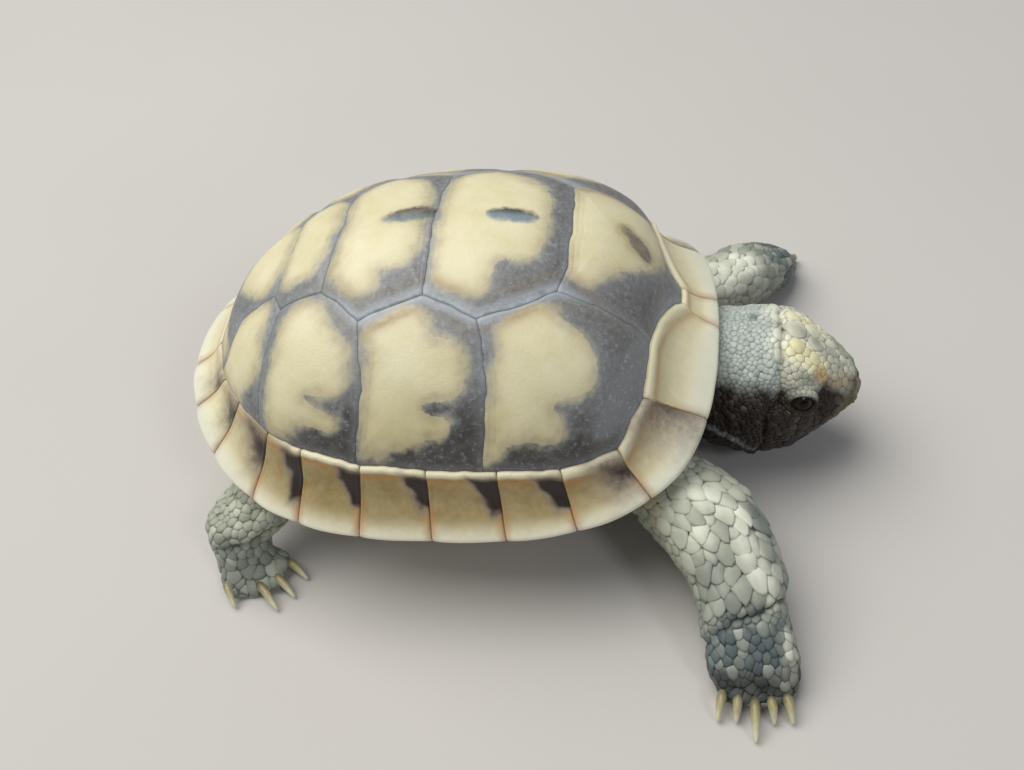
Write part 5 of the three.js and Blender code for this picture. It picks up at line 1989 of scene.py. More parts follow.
class Flesh:
    """One skin over the trunk, neck, head, legs and tail.

    Attributes:
        nodes: The CAD nodes it replaces.
        swell: How far the parts are swollen before they are wrapped, in millimetres.
        voxel: The size of the wrap's cells.
        smoothing: How often the wrap is smoothed.
        depth: How deep the plain skin lies under the scales.
        fine: How far from an eyeball's middle the faces are divided again.
        keep_hidden: The share of the hidden faces that stays.
        foreleg: How long a foreleg's middle line is, in millimetres.
        elbow: The share along a foreleg where its elbow folds.
        shoulder: The share along a foreleg where it folds by its root.
        wrists: The share along each foreleg where its wrist folds, and how the fold slants.
        neck_folds: Millimetres behind the collar and depth of each fold of the neck.
        toe_lumps: Millimetres behind a claw's root and radius of each lump that rounds its toe.
        lumps: The head's rises: place from the eyeball's middle for the left side, size and height.
    """

    nodes: tuple[str, ...] = (
        "trunk", "neck", "head", "foreleg_right", "foreleg_left", "hindleg_right", "hindleg_left", "tail",
    )
    swell: float = 0.32
    voxel: float = 0.28
    smoothing: int = 16
    depth: float = 0.22
    fine: float = 2.7
    keep_hidden: float = 0.05
    foreleg: float = 27.0
    elbow: float = 0.44
    shoulder: float = 0.25
    wrists: dict[Region, tuple[float, float]] = {
        Region.FORE_RIGHT: (0.755, 0.4), Region.FORE_LEFT: (0.72, 0.0),
    }
    neck_folds: tuple[Point, ...] = ((1.9, 0.12), (3.3, 0.15), (4.6, 0.1))
    toe_lumps: tuple[Point, ...] = ((0.7, 1.2), (0.0, 1.05))
    lumps: tuple[tuple[Place, Place, float], ...] = (
        ((0.1, -0.7, 2.3), (1.9, 1.0, 0.8), 0.3),
        ((-1.6, -0.2, -2.4), (1.7, 1.6, 1.7), 0.22),
        ((-0.9, -0.6, 2.2), (1.1, 1.1, 0.9), 0.16),
        ((2.6, -0.9, -0.6), (1.3, 1.2, 1.4), -0.2),
    )

    def __init__(self, shell: BVHTree) -> None:
        """Keep the shell, whose inside hides part of the skin."""
        self.shell = shell

    def hidden(self, points: Array, normals: Array, reach: float = 1.6) -> Array:
        """Say which places in metres face the shell from close by."""
        found = np.zeros(len(points), bool)
        for i, (point, normal) in enumerate(zip(points, normals)):
            found[i] = self.shell.ray_cast(Vector(point), Vector(normal), reach * MM)[0] is not None
        return found

    def part(self, name: str) -> bpy.types.Object:
        """Copy one node of flesh, with a leg's claws cut away."""
        piece = bpy.data.objects.new(f"{name}.flesh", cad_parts[name].data.copy())
        bpy.context.scene.collection.objects.link(piece)
        Workshop.close(piece, 1e-6)
        region = next((region for region in FEET if region.value == name), None)
        if region:
            foot = FEET[region]
            ahead, _ = foot.ways()
            place = to_metres(np.array([*foot.toes, -3.5]) + ahead * foot.trim)
            with Workshop.editing(piece):
                bpy.ops.mesh.bisect(plane_co=place, plane_no=ahead, clear_outer=True, use_fill=True)
        return piece

    def ball(self, centre: Array, radius: float) -> bpy.types.Object:
        """Add a round lump that the skin will cover."""
        bpy.ops.object.select_all(action="DESELECT")
        place = to_metres(centre)
        bpy.ops.mesh.primitive_ico_sphere_add(subdivisions=3, radius=radius * MM, location=place)
        bpy.ops.object.transform_apply(location=True, rotation=True, scale=True)
        return bpy.context.object

    def gather(self) -> bpy.types.Object:
        """Swell and join the parts and lumps and wrap them in one even skin."""
        parts = [self.part(name) for name in self.nodes]
        for piece in parts:
            with Workshop.editing(piece):
                bpy.ops.transform.shrink_fatten(value=self.swell * MM)
        parts += [self.ball(SOCKET.centre(side), SOCKET.radius + 0.55) for side in (-1, 1)]
        for foot in FEET.values():
            for share in foot.claws:
                (x, y), way, _ = foot.root(share)
                ahead, _ = level_ways(way)
                for back, size in self.toe_lumps:
                    parts.append(self.ball(np.array([x, y, -3.45]) - back * ahead, size))
        skin = Workshop.joined(parts, "skin")
        Workshop.without_maps(skin)
        Workshop.modify(skin, "REMESH", mode="VOXEL", voxel_size=self.voxel * MM)
        Workshop.modify(skin, "SMOOTH", factor=0.5, iterations=self.smoothing)
        return skin

    def refine(self, skin: bpy.types.Object, wanted: Callable[[Array], Array]) -> None:
        """Divide the faces whose points are wanted."""
        near = wanted(to_shell(Workshop.places(skin)))
        Workshop.only(skin)
        bpy.ops.object.mode_set(mode="EDIT")
        bpy.ops.mesh.select_all(action="DESELECT")
        bpy.ops.object.mode_set(mode="OBJECT")
        skin.data.vertices.foreach_set("select", near)
        chosen = np.zeros(len(skin.data.polygons), bool)
        for polygon in skin.data.polygons:
            chosen[polygon.index] = near[list(polygon.vertices)].all()
        skin.data.polygons.foreach_set("select", chosen)
        bpy.ops.object.mode_set(mode="EDIT")
        bpy.ops.mesh.select_mode(type="FACE")
        bpy.ops.mesh.subdivide(number_cuts=1)
        bpy.ops.object.mode_set(mode="OBJECT")

    def folds(self, spots: Whereabouts) -> Array:
        """Return how far each place stands out from the plain flesh, in millimetres."""
        p = spots.points
        x, z = p[:, 0], p[:, 2]
        rise = np.zeros(len(p))
        head = spots.on(Region.HEAD)
        drift = waves(p, 4.5, 3)
        collar = 28.6 + 1.9 * smooth(z, 5.5, 9.6) + 0.3 * drift
        behind = collar - x
        roll = 0.34 * np.where(behind > 0, np.exp(-behind / 2.2), 0)
        rise += head * (roll - 0.36 * bump_at(behind + 0.05, 0.34))
        for place, depth in self.neck_folds:
            rise -= head * depth * bump_at(behind - place - 0.35 * waves(p, 3.2, 8), 0.28)
        ridge = Streak(((22.5, -6.2, 0.6), (26, -5.9, -1.0), (29.8, -4.6, -2.6)), 0.7).at(p)
        rise += head * 0.3 * ridge
        for region, (place, slant) in self.wrists.items():
            on = spots.on(region)
            wrist = (spots.share - place) * self.foreleg + slant * (x - 26.2) - 0.3 * drift
            hold = 0.55 + 0.45 * smooth(x, 24.0, 26.5) * (1 - smooth(x, 28.0, 29.6))
            rise += on * (0.2 * bump_at(wrist + 1.2, 1.0) - 0.5 * hold * bump_at(wrist, 0.36))
            elbow = (spots.share - self.elbow) * self.foreleg - 0.6 * drift
            rise -= on * 0.16 * bump_at(elbow, 0.4) * smooth(-spots.out[:, 2], -0.5, 0.5)
            root = (spots.share - self.shoulder) * self.foreleg - 0.5 * drift
            rise -= on * 0.22 * bump_at(root, 0.45)
        on = spots.on(*HINDLEGS)
        ankle = z - 0.5 - 0.4 * drift
        rise += on * (0.34 * bump_at(ankle - 1.1, 0.9) - 0.85 * bump_at(ankle, 0.4))
        rise -= on * 0.2 * bump_at(z - 2.9 - 0.5 * drift, 0.36)
        rise += spots.on(Region.TRUNK) * 0.22 * waves(p * np.array([1, 1, 1.8]), 2.6, 17)
        rise += 0.05 * waves(p, 1.6, 21) + 0.03 * waves(p, 0.8, 22)
        return rise

    def shape_feet(self, points: Array, spots: Whereabouts) -> Array:
        """Draw the feet down and in towards their toes.

        Args:
            points: The skin's places.
            spots: Where they lie on the body.

        Returns:
            The places moved.
        """
        moved = points.copy()
        floor = Placing().floor
        for region, foot in FEET.items():
            ahead, aside = (way[:2] for way in foot.ways())
            flat = points[:, :2] - np.array(foot.toes)
            forward, across = flat @ ahead, flat @ aside
            on = spots.on(region)
            fore = region in FORELEGS
            fall = on * (smooth(forward, -3.6, 0.7) * 0.3 if fore else smooth(forward, -1.0, 2.4) * 0.45)
            low = (1 - smooth(points[:, 2], -1.0, 0.8)) * (0 if fore else 1)
            narrow = on * (smooth(forward, -1.6, 0.9) * 0.14 if fore else low * 0.12)
            moved[:, 2] = np.where(on, floor + (points[:, 2] - floor) * (1 - fall), moved[:, 2])
            moved[:, :2] -= (across * narrow)[:, None] * aside
        return moved

    def features(self, p: Array) -> Array:
        """Return how far each place of the head stands out for its lumps, mouth and nostrils."""
        x, z = p[:, 0], p[:, 2]
        aside = p[:, 1] - Placing().head_y
        rise = np.zeros(len(p))
        on = smooth(x, 29.6, 30.6)
        for side in (-1, 1):
            from_eye = p - SOCKET.centre(side)
            for place, size, height in self.lumps:
                away = from_eye - np.array(place) * np.array([1, side, 1])
                rise += height * bump_at(np.linalg.norm(away / np.array(size), axis=1), 1)
        gap = FACE.mouth_gap(p)
        mouth = smooth(x, 31.2, 32.0)
        rise += on * mouth * (0.14 * bump_at(gap - 0.4, 0.35) - 0.34 * bump_at(gap, 0.15))
        rise -= on * mouth * 0.16 * smooth(-gap, 0.05, 0.5) * (1 - smooth(-gap, 1.5, 3))
        rise += 0.12 * bump_at(x - 38.0, 0.5) * bump_at(gap - 0.25, 0.5) * bump_at(aside, 0.6)
        nose = FACE.nostril_distance(p)
        rise += 0.06 * bump_at(nose - 0.34, 0.14) - 0.42 * bump_at(nose, 0.19)
        rise -= 0.07 * bump_at(aside, 0.3) * smooth(x, 31, 33) * smooth(z, 6, 8)
        return rise

    def shape_lids(self, points: Array) -> Array:
        """Draw the skin round each eyeball into two lids with an opening between them."""
        moved = points.copy()
        for side in (-1, 1):
            ring, distance, _ = SOCKET.ring(points, side)
            centre = SOCKET.centre(side)
            lid = SOCKET.radius + SOCKET.lid
            lid = lid + 0.1 * bump_at(ring - 1.16, 0.16) - 0.13 * bump_at(ring - 1.72, 0.16)
            target = mix(SOCKET.hidden, lid, smooth(ring, 0.9, 1.06))
            hold = (1 - smooth(ring, 1.55, 2.15)) * (distance < 3.6)
            reach = mix(distance, target, hold)
            moved = np.where(
                (hold > 0)[:, None], centre + (points - centre) * (reach / distance)[:, None], moved
            )
        return moved

    @staticmethod
    def on_face(p: Array) -> Array:
        """Say which places lie on the front of the head."""
        return np.linalg.norm((p - np.array([35.6, -0.7, 3.0])) / np.array([1, 1, 0.9]), axis=1) < 4.6

    @staticmethod
    def on_mouth(p: Array) -> Array:
        """Say which places lie by the mouth line or the nostrils."""
        by_mouth = (np.abs(FACE.mouth_gap(p) + 0.3) < 0.7) & (p[:, 0] > 31)
        return by_mouth | (FACE.nostril_distance(p) < 1.3)

    def on_lids(self, p: Array) -> Array:
        """Say which places lie round the eyes."""
        return SOCKET.nearest(p)[1] < self.fine

    def build(self, material: bpy.types.Material) -> bpy.types.Object:
        """Build and dress the skin.

        Args:
            material: The skin's own.

        Returns:
            The finished skin.
        """
        skin = self.gather()
        for wanted in (self.on_face, self.on_mouth, self.on_lids, self.on_lids):
            self.refine(skin, wanted)
        places, normals = Workshop.places(skin), Workshop.normals(skin)
        points = to_shell(places) - normals * (self.swell + self.depth - 0.1)
        spots = Whereabouts.of(points)
        points += normals * self.folds(spots)[:, None]
        points = self.shape_feet(points, spots)
        Workshop.place(skin, to_metres(points))
        Workshop.place(skin, to_metres(self.shape_lids(to_shell(Workshop.places(skin)))))
        points = to_shell(Workshop.places(skin))
        head = Whereabouts.of(points).on(Region.HEAD)
        points += Workshop.normals(skin) * (self.features(points) * head)[:, None]
        points[:, 2] = np.maximum(points[:, 2], Placing().floor + 0.03)
        Workshop.place(skin, to_metres(points))
        self.thin(skin)
        points = to_shell(Workshop.places(skin))
        spots = Whereabouts.of(points)
        head = spots.on(Region.HEAD)
        lips = bump_at(FACE.mouth_gap(points), 0.14) * (points[:, 0] > FACE.mouth_start)
        nostrils = 1.2 * bump_at(FACE.nostril_distance(points), 0.36)
        marks = Complexion().fields(spots)
        marks["lid"] = bump_at(SOCKET.nearest(points)[0] - 1.02, 0.09) * head
        marks["mouth"] = np.maximum(lips, nostrils) * head
        for name, values in marks.items():
            Workshop.mark(skin, name, values)
        Workshop.only(skin)
        bpy.ops.object.shade_smooth()
        return hand_over(skin, material, self.nodes)

    def thin(self, skin: bpy.types.Object) -> None:
        """Use fewer faces where the shell hides the skin."""
        places, normals = Workshop.places(skin), Workshop.normals(skin)
        spots = Whereabouts.of(to_shell(places))
        hidden = self.hidden(places, normals) & spots.on(Region.TRUNK)
        group = skin.vertex_groups.new(name="hidden")
        group.add(np.nonzero(hidden)[0].tolist(), 1.0, "REPLACE")
        share = 1 - (1 - self.keep_hidden) * hidden.mean()
        Workshop.modify(
            skin, "DECIMATE", ratio=float(share), vertex_group="hidden", vertex_group_factor=1000
        )
        skin.vertex_groups.clear()


@dataclass(frozen=True)
class SkinFinish:
    """Grey-green skin, bluish on the neck, yellow on the crown and dark on the cheeks and feet, partly as
    painted shade.

    The scales wear the same finish: rise tells a scale's rim, which gets painted shade, from its middle and
    tone varies it.

    Attributes:
        coats: The markings in the order they are laid on, with how strong each is and how it varies.
    """

    base: str = "ACAF9D"
    shade: str = "7A7D6E"
    blue: str = "B2BCB6"
    tan: str = "BDB9A6"
    cream: str = "E6E8D6"
    yellow: str = "E2DBAC"
    orange: str = "B98E4E"
    slate: str = "515E61"
    umber: str = "2B2018"
    horn: str = "5F5636"
    line: str = "17130F"
    coats: tuple[tuple[str, float, float], ...] = (
        ("blue", 0.85, 0.6), ("tan", 0.9, 0.5), ("cream", 0.8, 1.2), ("yellow", 0.95, 0.5),
        ("orange", 0.8, 1.0), ("slate", 0.95, -0.8), ("umber", 1.0, -0.5), ("horn", 0.8, 1.0),
    )

    def material(self, scales: bool) -> bpy.types.Material:
        """Build the material.

        Args:
            scales: Whether it is for the scales rather than for the skin between them.

        Returns:
            The material.
        """
        shader = Shader("scales" if scales else "skin", 0.55, 0.32)
        broad = shader.noise(2.6, 3)
        patch = shader.noise(0.8, 4, 0.6)
        grain = shader.noise(0.16, 3, 0.6)
        rise = shader.mark("rise") if scales else None
        tone = shader.mark("tone") if scales else patch * 0.4
        pits = shader.cells(0.12 if scales else 0.24) - 0.45
        soft = broad * 0.5 + tone * 0.3 + patch * 0.35
        base = shader.blend(self.shade, self.base, (0.72 + soft * 1.2 - pits * 0.2).clamped())
        for name, least, vary in self.coats:
            share = (shader.mark(name) * (least + soft * vary)).clamped()
            base = shader.blend(base, getattr(self, name), share)
        if scales:
            # Painted shade along each scale's rim, where it meets the skin.
            rim = 1 - rise.step(0.0, 0.35)
            base = shader.layers(
                base,
                (self.cream, (tone * 0.3 * (1 - shader.mark("umber"))).clamped()),
                (self.umber, rim * 0.12),
            )
            relief = grain * 0.6 + patch * 0.3
            return shader.finish(base, relief, 0.02, 0.5 + patch * 0.25 - rise * 0.06)
        horn, lids = shader.mark("horn"), shader.mark("lids")
        # Painted shade: the skin between the scales is darkened, as in the shade of the gaps.
        gap_shade = (0.4 - horn * 0.4) * (1 - shader.mark("yellow") * 0.7) * (1 - lids)
        base = shader.layers(
            base,
            (self.umber, gap_shade.clamped() * 0.45),
            (self.cream, lids * 0.75),
            (self.line, shader.mark("lid") * 0.6),
            (self.line, shader.mark("mouth") * 0.8),
        )
        relief = (pits * -1.6 + grain * 0.5 + patch * 0.4) * (1 - horn * 0.8)
        return shader.finish(base, relief, 0.05, 0.55 + patch * 0.2 - horn * 0.18)


# ---------------------------------------------------------------- scales


@dataclass(frozen=True)
class Shield:
    """A large plate of the head: its place and how far it is across."""

    x: float
    aside: float
    z: float
    size: float


class Pattern:
    """Where the scales are large, where they overlap and where there are none.

    Attributes:
        neck: The spacing on the neck, in millimetres.
        face: How much wider it is on the head.
        foreleg: The smallest and largest spacing on the forelegs.
        hindleg: The spacing on the thighs.
        sole: How much wider it is towards the hind feet's soles.
        tail: The spacing on the tail.
        trunk: The spacing on the trunk.
        by_lids: The smallest and largest spacing round the eyes.
        eye_reach: How far from an eyeball's middle that holds.
        lid_edge: The eye's opening measure within which the lids are bare.
        bare_trunk: How far from the middle the trunk is bare.
        shields: The head's large plates.
        pale: Where a pale raised scale lies on the forelegs; its paler tone is partly painted highlight.
    """

    neck: float = 0.46
    face: float = 0.3
    foreleg: Point = (0.66, 1.22)
    hindleg: float = 0.78
    sole: float = 0.3
    tail: float = 0.66
    trunk: float = 0.78
    by_lids: Point = (0.36, 0.62)
    eye_reach: float = 3.4
    lid_edge: float = 1.42
    bare_trunk: float = 12.5
    shields: tuple[Shield, ...] = (
        Shield(31.9, 0.0, 9.9, 2.2),
        Shield(33.7, 0.85, 8.7, 1.65), Shield(33.7, -0.85, 8.7, 1.65),
        Shield(35.3, 0.5, 7.3, 1.15), Shield(35.3, -0.5, 7.3, 1.15),
        Shield(36.4, 0.55, 6.2, 0.95), Shield(36.4, -0.55, 6.2, 0.95),
        Shield(31.9, 2.0, 9.6, 1.5), Shield(31.9, -2.0, 9.6, 1.5),
        Shield(33.4, 2.6, 8.3, 1.15), Shield(33.4, -2.6, 8.3, 1.15),
        Shield(30.2, 1.1, 10.1, 1.3), Shield(30.2, -1.1, 10.1, 1.3),
        Shield(30.2, 3.2, 9.4, 1.35), Shield(30.2, -3.2, 9.4, 1.35),
        Shield(29.9, 5.8, 4.6, 1.05), Shield(29.9, -5.8, 4.6, 1.05),
    )
    pale: tuple[Place, ...] = (
        (25.8, -17.3, 4.4), (22.9, -19.7, 4.0), (26.9, -21.2, 3.1), (27.2, -22.2, 2.6),
        (28.5, -23.3, 1.6), (25.7, -24.4, 1.8), (27.8, -28.9, -0.9), (29.9, -26.5, -1.0),
        (22.0, -16.4, 5.2), (24.0, -16.0, 5.0),
        (29.9, 20.7, 1.9), (32.0, 20.8, 1.0), (33.6, 24.6, -0.6), (27.5, 17.6, 3.1),
    )

    def read(self, spots: Whereabouts, normals: Array) -> dict[str, Array]:
        """Work out the scales' kind at a set of places.

        Args:
            spots: The places.
            normals: The ways out of the skin there.

        Returns:
            The spacing in millimetres (0 for no scale) and the height, overlap and lift as shares of it.
        """
        p = spots.points
        x, z, share = p[:, 0], p[:, 2], spots.share
        head, fore, hind = spots.on(Region.HEAD), spots.on(*FORELEGS), spots.on(*HINDLEGS)
        tail, trunk = spots.on(Region.TAIL), spots.on(Region.TRUNK)
        side = np.where(spots.on(Region.FORE_RIGHT), -1.0, 1.0)
        facing = normals @ unit(np.array([0.5, 0.0, 0.85])) + 0.45 * normals[:, 1] * side
        front = smooth(facing, -0.15, 0.45)
        middle = smooth(share, 0.24, 0.38) * (1 - smooth(share, 0.7, 0.76))
        foot = smooth(share, 0.74, 0.8)
        spacings = [
            self.neck + self.face * smooth(x, 29.0, 30.5),
            mix(*self.foreleg, front * middle) + foot * 0.12,
            self.hindleg + self.sole * smooth(-z, -0.5, 2.5),
            self.tail,
        ]
        spacing = np.select([head, fore, hind, tail], spacings, self.trunk)
        spacing = spacing * (1 + 0.2 * waves(p, 2.4, 31))
        height = np.where(head, 0.09, 0.13)
        height = np.where(head & (x < 28.8), 0.12, height)
        overlap = np.select([fore, hind, tail], [0.2 + 0.5 * front * middle + 0.2 * foot, 0.3, 0.3], 0.0)
        lift = np.select([fore, hind, tail], [0.06 + 0.2 * front * middle + 0.1 * foot, 0.12, 0.1], 0.0)
        ring, distance = SOCKET.nearest(p)
        by_eye = head & (distance < self.eye_reach)
        tight = np.minimum(spacing, mix(*self.by_lids, smooth(ring, 1.7, 2.6)))
        spacing = np.where(by_eye, tight, spacing)
        by_lips = (np.abs(FACE.mouth_gap(p)) < 0.2) & (x > FACE.mouth_start)
        bare = by_eye & (ring < self.lid_edge)
        bare |= head & ((FACE.beak(p) > 0.35) | by_lips | (FACE.nostril_distance(p) < 0.5))
        bare |= trunk & (np.abs(x) < self.bare_trunk)
        return {"spacing": np.where(bare, 0, spacing), "height": height, "overlap": overlap, "lift": lift}


class Unwrap:
    """A flat unwrap of the skin's own shape, which gives every scale its place on the bake map."""

    faces: int = 5000
    fold: float = 66
    margin: float = 0.003

    def __init__(self, skin: bpy.types.Object) -> None:
        """Unwrap a light copy of the skin and keep its triangles."""
        copy = bpy.data.objects.new("unwrap", skin.data.copy())
        bpy.context.scene.collection.objects.link(copy)
        Workshop.modify(copy, "DECIMATE", ratio=self.faces / len(copy.data.polygons))
        Workshop.modify(copy, "TRIANGULATE")
        with Workshop.editing(copy):
            bpy.ops.uv.smart_project(angle_limit=math.radians(self.fold), island_margin=self.margin)
        mesh = copy.data
        self.triangles = Workshop.read(mesh.loops, "vertex_index", 1, np.int32).reshape(-1, 3)
        self.places = Workshop.places(copy)
        self.map = Workshop.read(mesh.uv_layers.active.data, "uv", 2).reshape(-1, 3, 2).astype(float)
        self.tree = BVHTree.FromPolygons(self.places.tolist(), self.triangles.tolist())
        bpy.data.objects.remove(copy)

    def at(self, point: Array) -> Array:
        """Return the map's place of a point in metres."""
        near, _, face, _ = self.tree.find_nearest(Vector(point))
        a, b, c = self.places[self.triangles[face]]
        ab, ac, away = b - a, c - a, np.array(near) - a
        dots = np.array([[ab @ ab, ab @ ac], [ab @ ac, ac @ ac]])
        share = np.linalg.solve(dots + np.eye(2) * 1e-18, np.array([away @ ab, away @ ac])).clip(0, 1)
        weights = np.array([max(0.0, 1 - share.sum()), *share])
        return weights @ self.map[face] / weights.sum()


@dataclass(frozen=True)
class ScaleForm:
    """The mesh of one scale: how many corners it has and the rings from its middle to its rim."""

    corners: int
    rings: tuple[float, ...]

    def faces(self) -> list[tuple[int, ...]]:
        """Return the triangles of one closed scale."""
        k, rings = self.corners, len(self.rings) + 1
        found = []
        for i in range(k):
            j = (i + 1) % k
            found.append((0, 1 + i, 1 + j))
            for r in range(rings - 1):
                a, b, c, d = 1 + r * k + i, 1 + (r + 1) * k + i, 1 + (r + 1) * k + j, 1 + r * k + j
                found += [(a, b, c), (a, c, d)]
            low = 1 + (rings - 1) * k
            found.append((1 + rings * k, low + j, low + i))
        return found


@dataclass(frozen=True)
class Scales:
    """Every scale's middle and what varies it.

    Attributes:
        places: The middles.
        ups: The ways out of the skin there.
        ways: The ways the scales lie.
        sizes: How large they are.
        kinds: The pattern's values.
        pale: How much each is one of the pale raised ones.
        tone: How light each is.
        fields: The markings.
    """

    places: Array
    ups: Array
    ways: Array
    sizes: Array
    kinds: dict[str, Array]
    pale: Array
    tone: Array
    fields: dict[str, Array]


@dataclass(frozen=True)
class Laid:
    """The scales of one form in one region.

    Attributes:
        form: Their mesh.
        chosen: Their numbers among all the scales.
        points: Their points, a row for each scale.
        rise: 1 in a scale's middle, falling to 0 at its rim, for each point.
        offsets: Each point's way from its scale's place on the bake map.
    """

    form: ScaleForm
    chosen: Array
    points: Array
    rise: Array
    offsets: Array


class Coat:
    """The scales, as closed solids laid over the skin.

    Attributes:
        small: The mesh of the small scales.
        large: The mesh of the large ones.
        large_from: The size from which a scale is large.
        tries: How many places are strewn for the scales to choose from.
        crowding: How close two scales may come, as a share of their mean size.
        relax: How often the middles are evened out.
        sink: How far a scale's underside lies in the skin, in millimetres.
        spread: A scale's reach as a share of its outline's.
        own_colour: How much of a scale's colour is its middle's.
        patch: The half width of a scale on the bake map.
        cell: The size of the grid's cells that find near places.
        neighbours: How many scales can bound one.
        seed: Picks the random draws.
    """

    small = ScaleForm(9, (0.62, 1.0))
    large = ScaleForm(14, (0.4, 0.72, 0.9, 1.0))
    large_from: float = 1.0
    tries: int = 90000
    crowding: float = 0.8
    relax: int = 3
    sink: float = 0.14
    spread: float = 1.12
    own_colour: float = 0.25
    patch: float = 0.0015
    cell: float = 1.2
    neighbours: int = 12
    seed: int = 404

    def __init__(self, skin: bpy.types.Object, hidden: Callable[[Array, Array], Array]) -> None:
        """Keep the skin's surface.

        Args:
            skin: The finished skin.
            hidden: Says which places in metres face the shell from close by.
        """
        self.hidden = hidden
        skin.data.calc_loop_triangles()
        self.triangles = Workshop.read(skin.data.loop_triangles, "vertices", 3, np.int32)
        self.points = to_shell(Workshop.places(skin))
        self.ups = Workshop.normals(skin)
        self.tree = BVHTree.FromPolygons(self.points.tolist(), self.triangles.tolist())
        self.unwrap = Unwrap(skin)
        self.random = np.random.default_rng(self.seed)

    def snap(self, points: Array) -> tuple[Array, Array]:
        """Bring points onto the skin and return them with the ways out there."""
        found, ups = np.empty_like(points), np.empty_like(points)
        for i, point in enumerate(points):
            near, _, face, _ = self.tree.find_nearest(Vector(point))
            found[i] = near
            corners = self.triangles[face]
            weights = 1 / (np.linalg.norm(self.points[corners] - found[i], axis=1) + 0.02)
            ups[i] = weights @ self.ups[corners]
        return found, unit(ups)

    def candidates(self) -> tuple[Array, Array]:
        """Strew places over the skin, denser where the scales are small, and return their spacing too."""
        a, b, c = (self.points[self.triangles[:, i]] for i in range(3))
        area = np.linalg.norm(np.cross(b - a, c - a), axis=1) / 2
        middle = (a + b + c) / 3
        ups = unit(self.ups[self.triangles].sum(1))
        spacing = Pattern().read(Whereabouts.of(middle), ups)["spacing"]
        weight = np.where(spacing > 0, area / np.maximum(spacing, 0.2) ** 2, 0)
        chosen = self.random.choice(len(area), self.tries, p=weight / weight.sum())
        shares = self.random.dirichlet((1, 1, 1), self.tries)
        points = shares[:, :1] * a[chosen] + shares[:, 1:2] * b[chosen] + shares[:, 2:] * c[chosen]
        return points, spacing[chosen]

    def thinned(self, every: Array, sizes: Array, fixed: int) -> list[int]:
        """Choose the places that keep their distance from those chosen before them.

        Args:
            every: All the places, in the order they are tried.
            sizes: Their scales' sizes.
            fixed: How many of the first are chosen in any case.

        Returns:
            The chosen places' numbers.
        """
        near = [(dx, dy, dz) for dx in (-1, 0, 1) for dy in (-1, 0, 1) for dz in (-1, 0, 1)]
        grid: dict[tuple[int, int, int], list[int]] = {}
        kept: list[int] = []
        cells = np.floor(every / self.cell).astype(int).tolist()
        listed, listed_sizes = every.tolist(), sizes.tolist()

        def free(i: int) -> bool:
            """Say whether no chosen place lies too close to place i."""
            (x, y, z), (px, py, pz) = cells[i], listed[i]
            for dx, dy, dz in near:
                for j in grid.get((x + dx, y + dy, z + dz), ()):
                    qx, qy, qz = listed[j]
                    limit = (listed_sizes[i] + listed_sizes[j]) / 2 * self.crowding
                    if (px - qx) ** 2 + (py - qy) ** 2 + (pz - qz) ** 2 < limit * limit:
                        return False
            return True

        for i, cell in enumerate(cells):
            if i < fixed or free(i):
                kept.append(i)
                grid.setdefault(tuple(cell), []).append(i)
        return kept

    def seeds(self) -> tuple[Array, Array]:
        """Choose the scales' middles: the shields first, then as many more as fit.

        Returns:
            Their places on the skin and their sizes.
        """
        points, spacing = self.candidates()
        shields = np.array([[s.x, Placing().head_y + s.aside, s.z] for s in Pattern.shields])
        start, _ = self.snap(shields)
        fixed = len(start)
        every = np.vstack([start, points])
        sizes = np.concatenate([[s.size for s in Pattern.shields], spacing])
        kept = self.thinned(every, sizes, fixed)
        chosen, sizes = every[kept], sizes[kept]
        sample = points[::2]
        for _ in range(self.relax):
            tree = nearest_finder(chosen)
            owner = np.array([tree.find(place)[1] for place in sample])
            count = np.bincount(owner, minlength=len(chosen))
            total = np.stack([np.bincount(owner, axis, minlength=len(chosen)) for axis in sample.T], -1)
            moved = np.where(count[:, None] > 2, total / np.maximum(count, 1)[:, None], chosen)
            moved[:fixed] = chosen[:fixed]
            chosen, _ = self.snap(moved)
        return chosen, sizes

    def outlines(self, scales: Scales, chosen: Array, corners: int) -> Array:
        """Return how far scales reach in each direction before their neighbours begin.

        Args:
            scales: Every scale.
            chosen: The numbers of the scales to measure.
            corners: How many directions to look in.

        Returns:
            One row of reaches per chosen scale, from its way round through its left.
        """
        tree = nearest_finder(scales.places)
        turns = np.arange(corners) / corners * 2 * math.pi
        cosines, sines = np.cos(turns), np.sin(turns)
        lefts = np.cross(scales.ups, scales.ways)
        found = np.empty((len(chosen), corners))
        for row, i in enumerate(chosen):
            up, size = scales.ups[i], scales.sizes[i]
            near = [hit[1] for hit in tree.find_n(scales.places[i], self.neighbours + 1)][1:]
            away = scales.places[near] - scales.places[i]
            level = np.abs(away @ up) < 0.8 * np.linalg.norm(away, axis=1)
            fits = (scales.ups[near] @ up > -0.1) & level
            away, others = away[fits], scales.sizes[near][fits]
            along, across = away @ scales.ways[i], away @ lefts[i]
            length = np.hypot(along, across) + 1e-9
            half = (length + (size**2 - others**2) / 4 / length) / 2
            facing = (np.outer(cosines, along) + np.outer(sines, across)) / length
            reach = np.maximum(half, 0.2 * size) / np.maximum(facing, 0.05)
            reach = np.vstack([reach.T, np.full(corners, 0.85 * size)])
            found[row] = (reach**-8.0).sum(0) ** (-1 / 8.0)
        return found

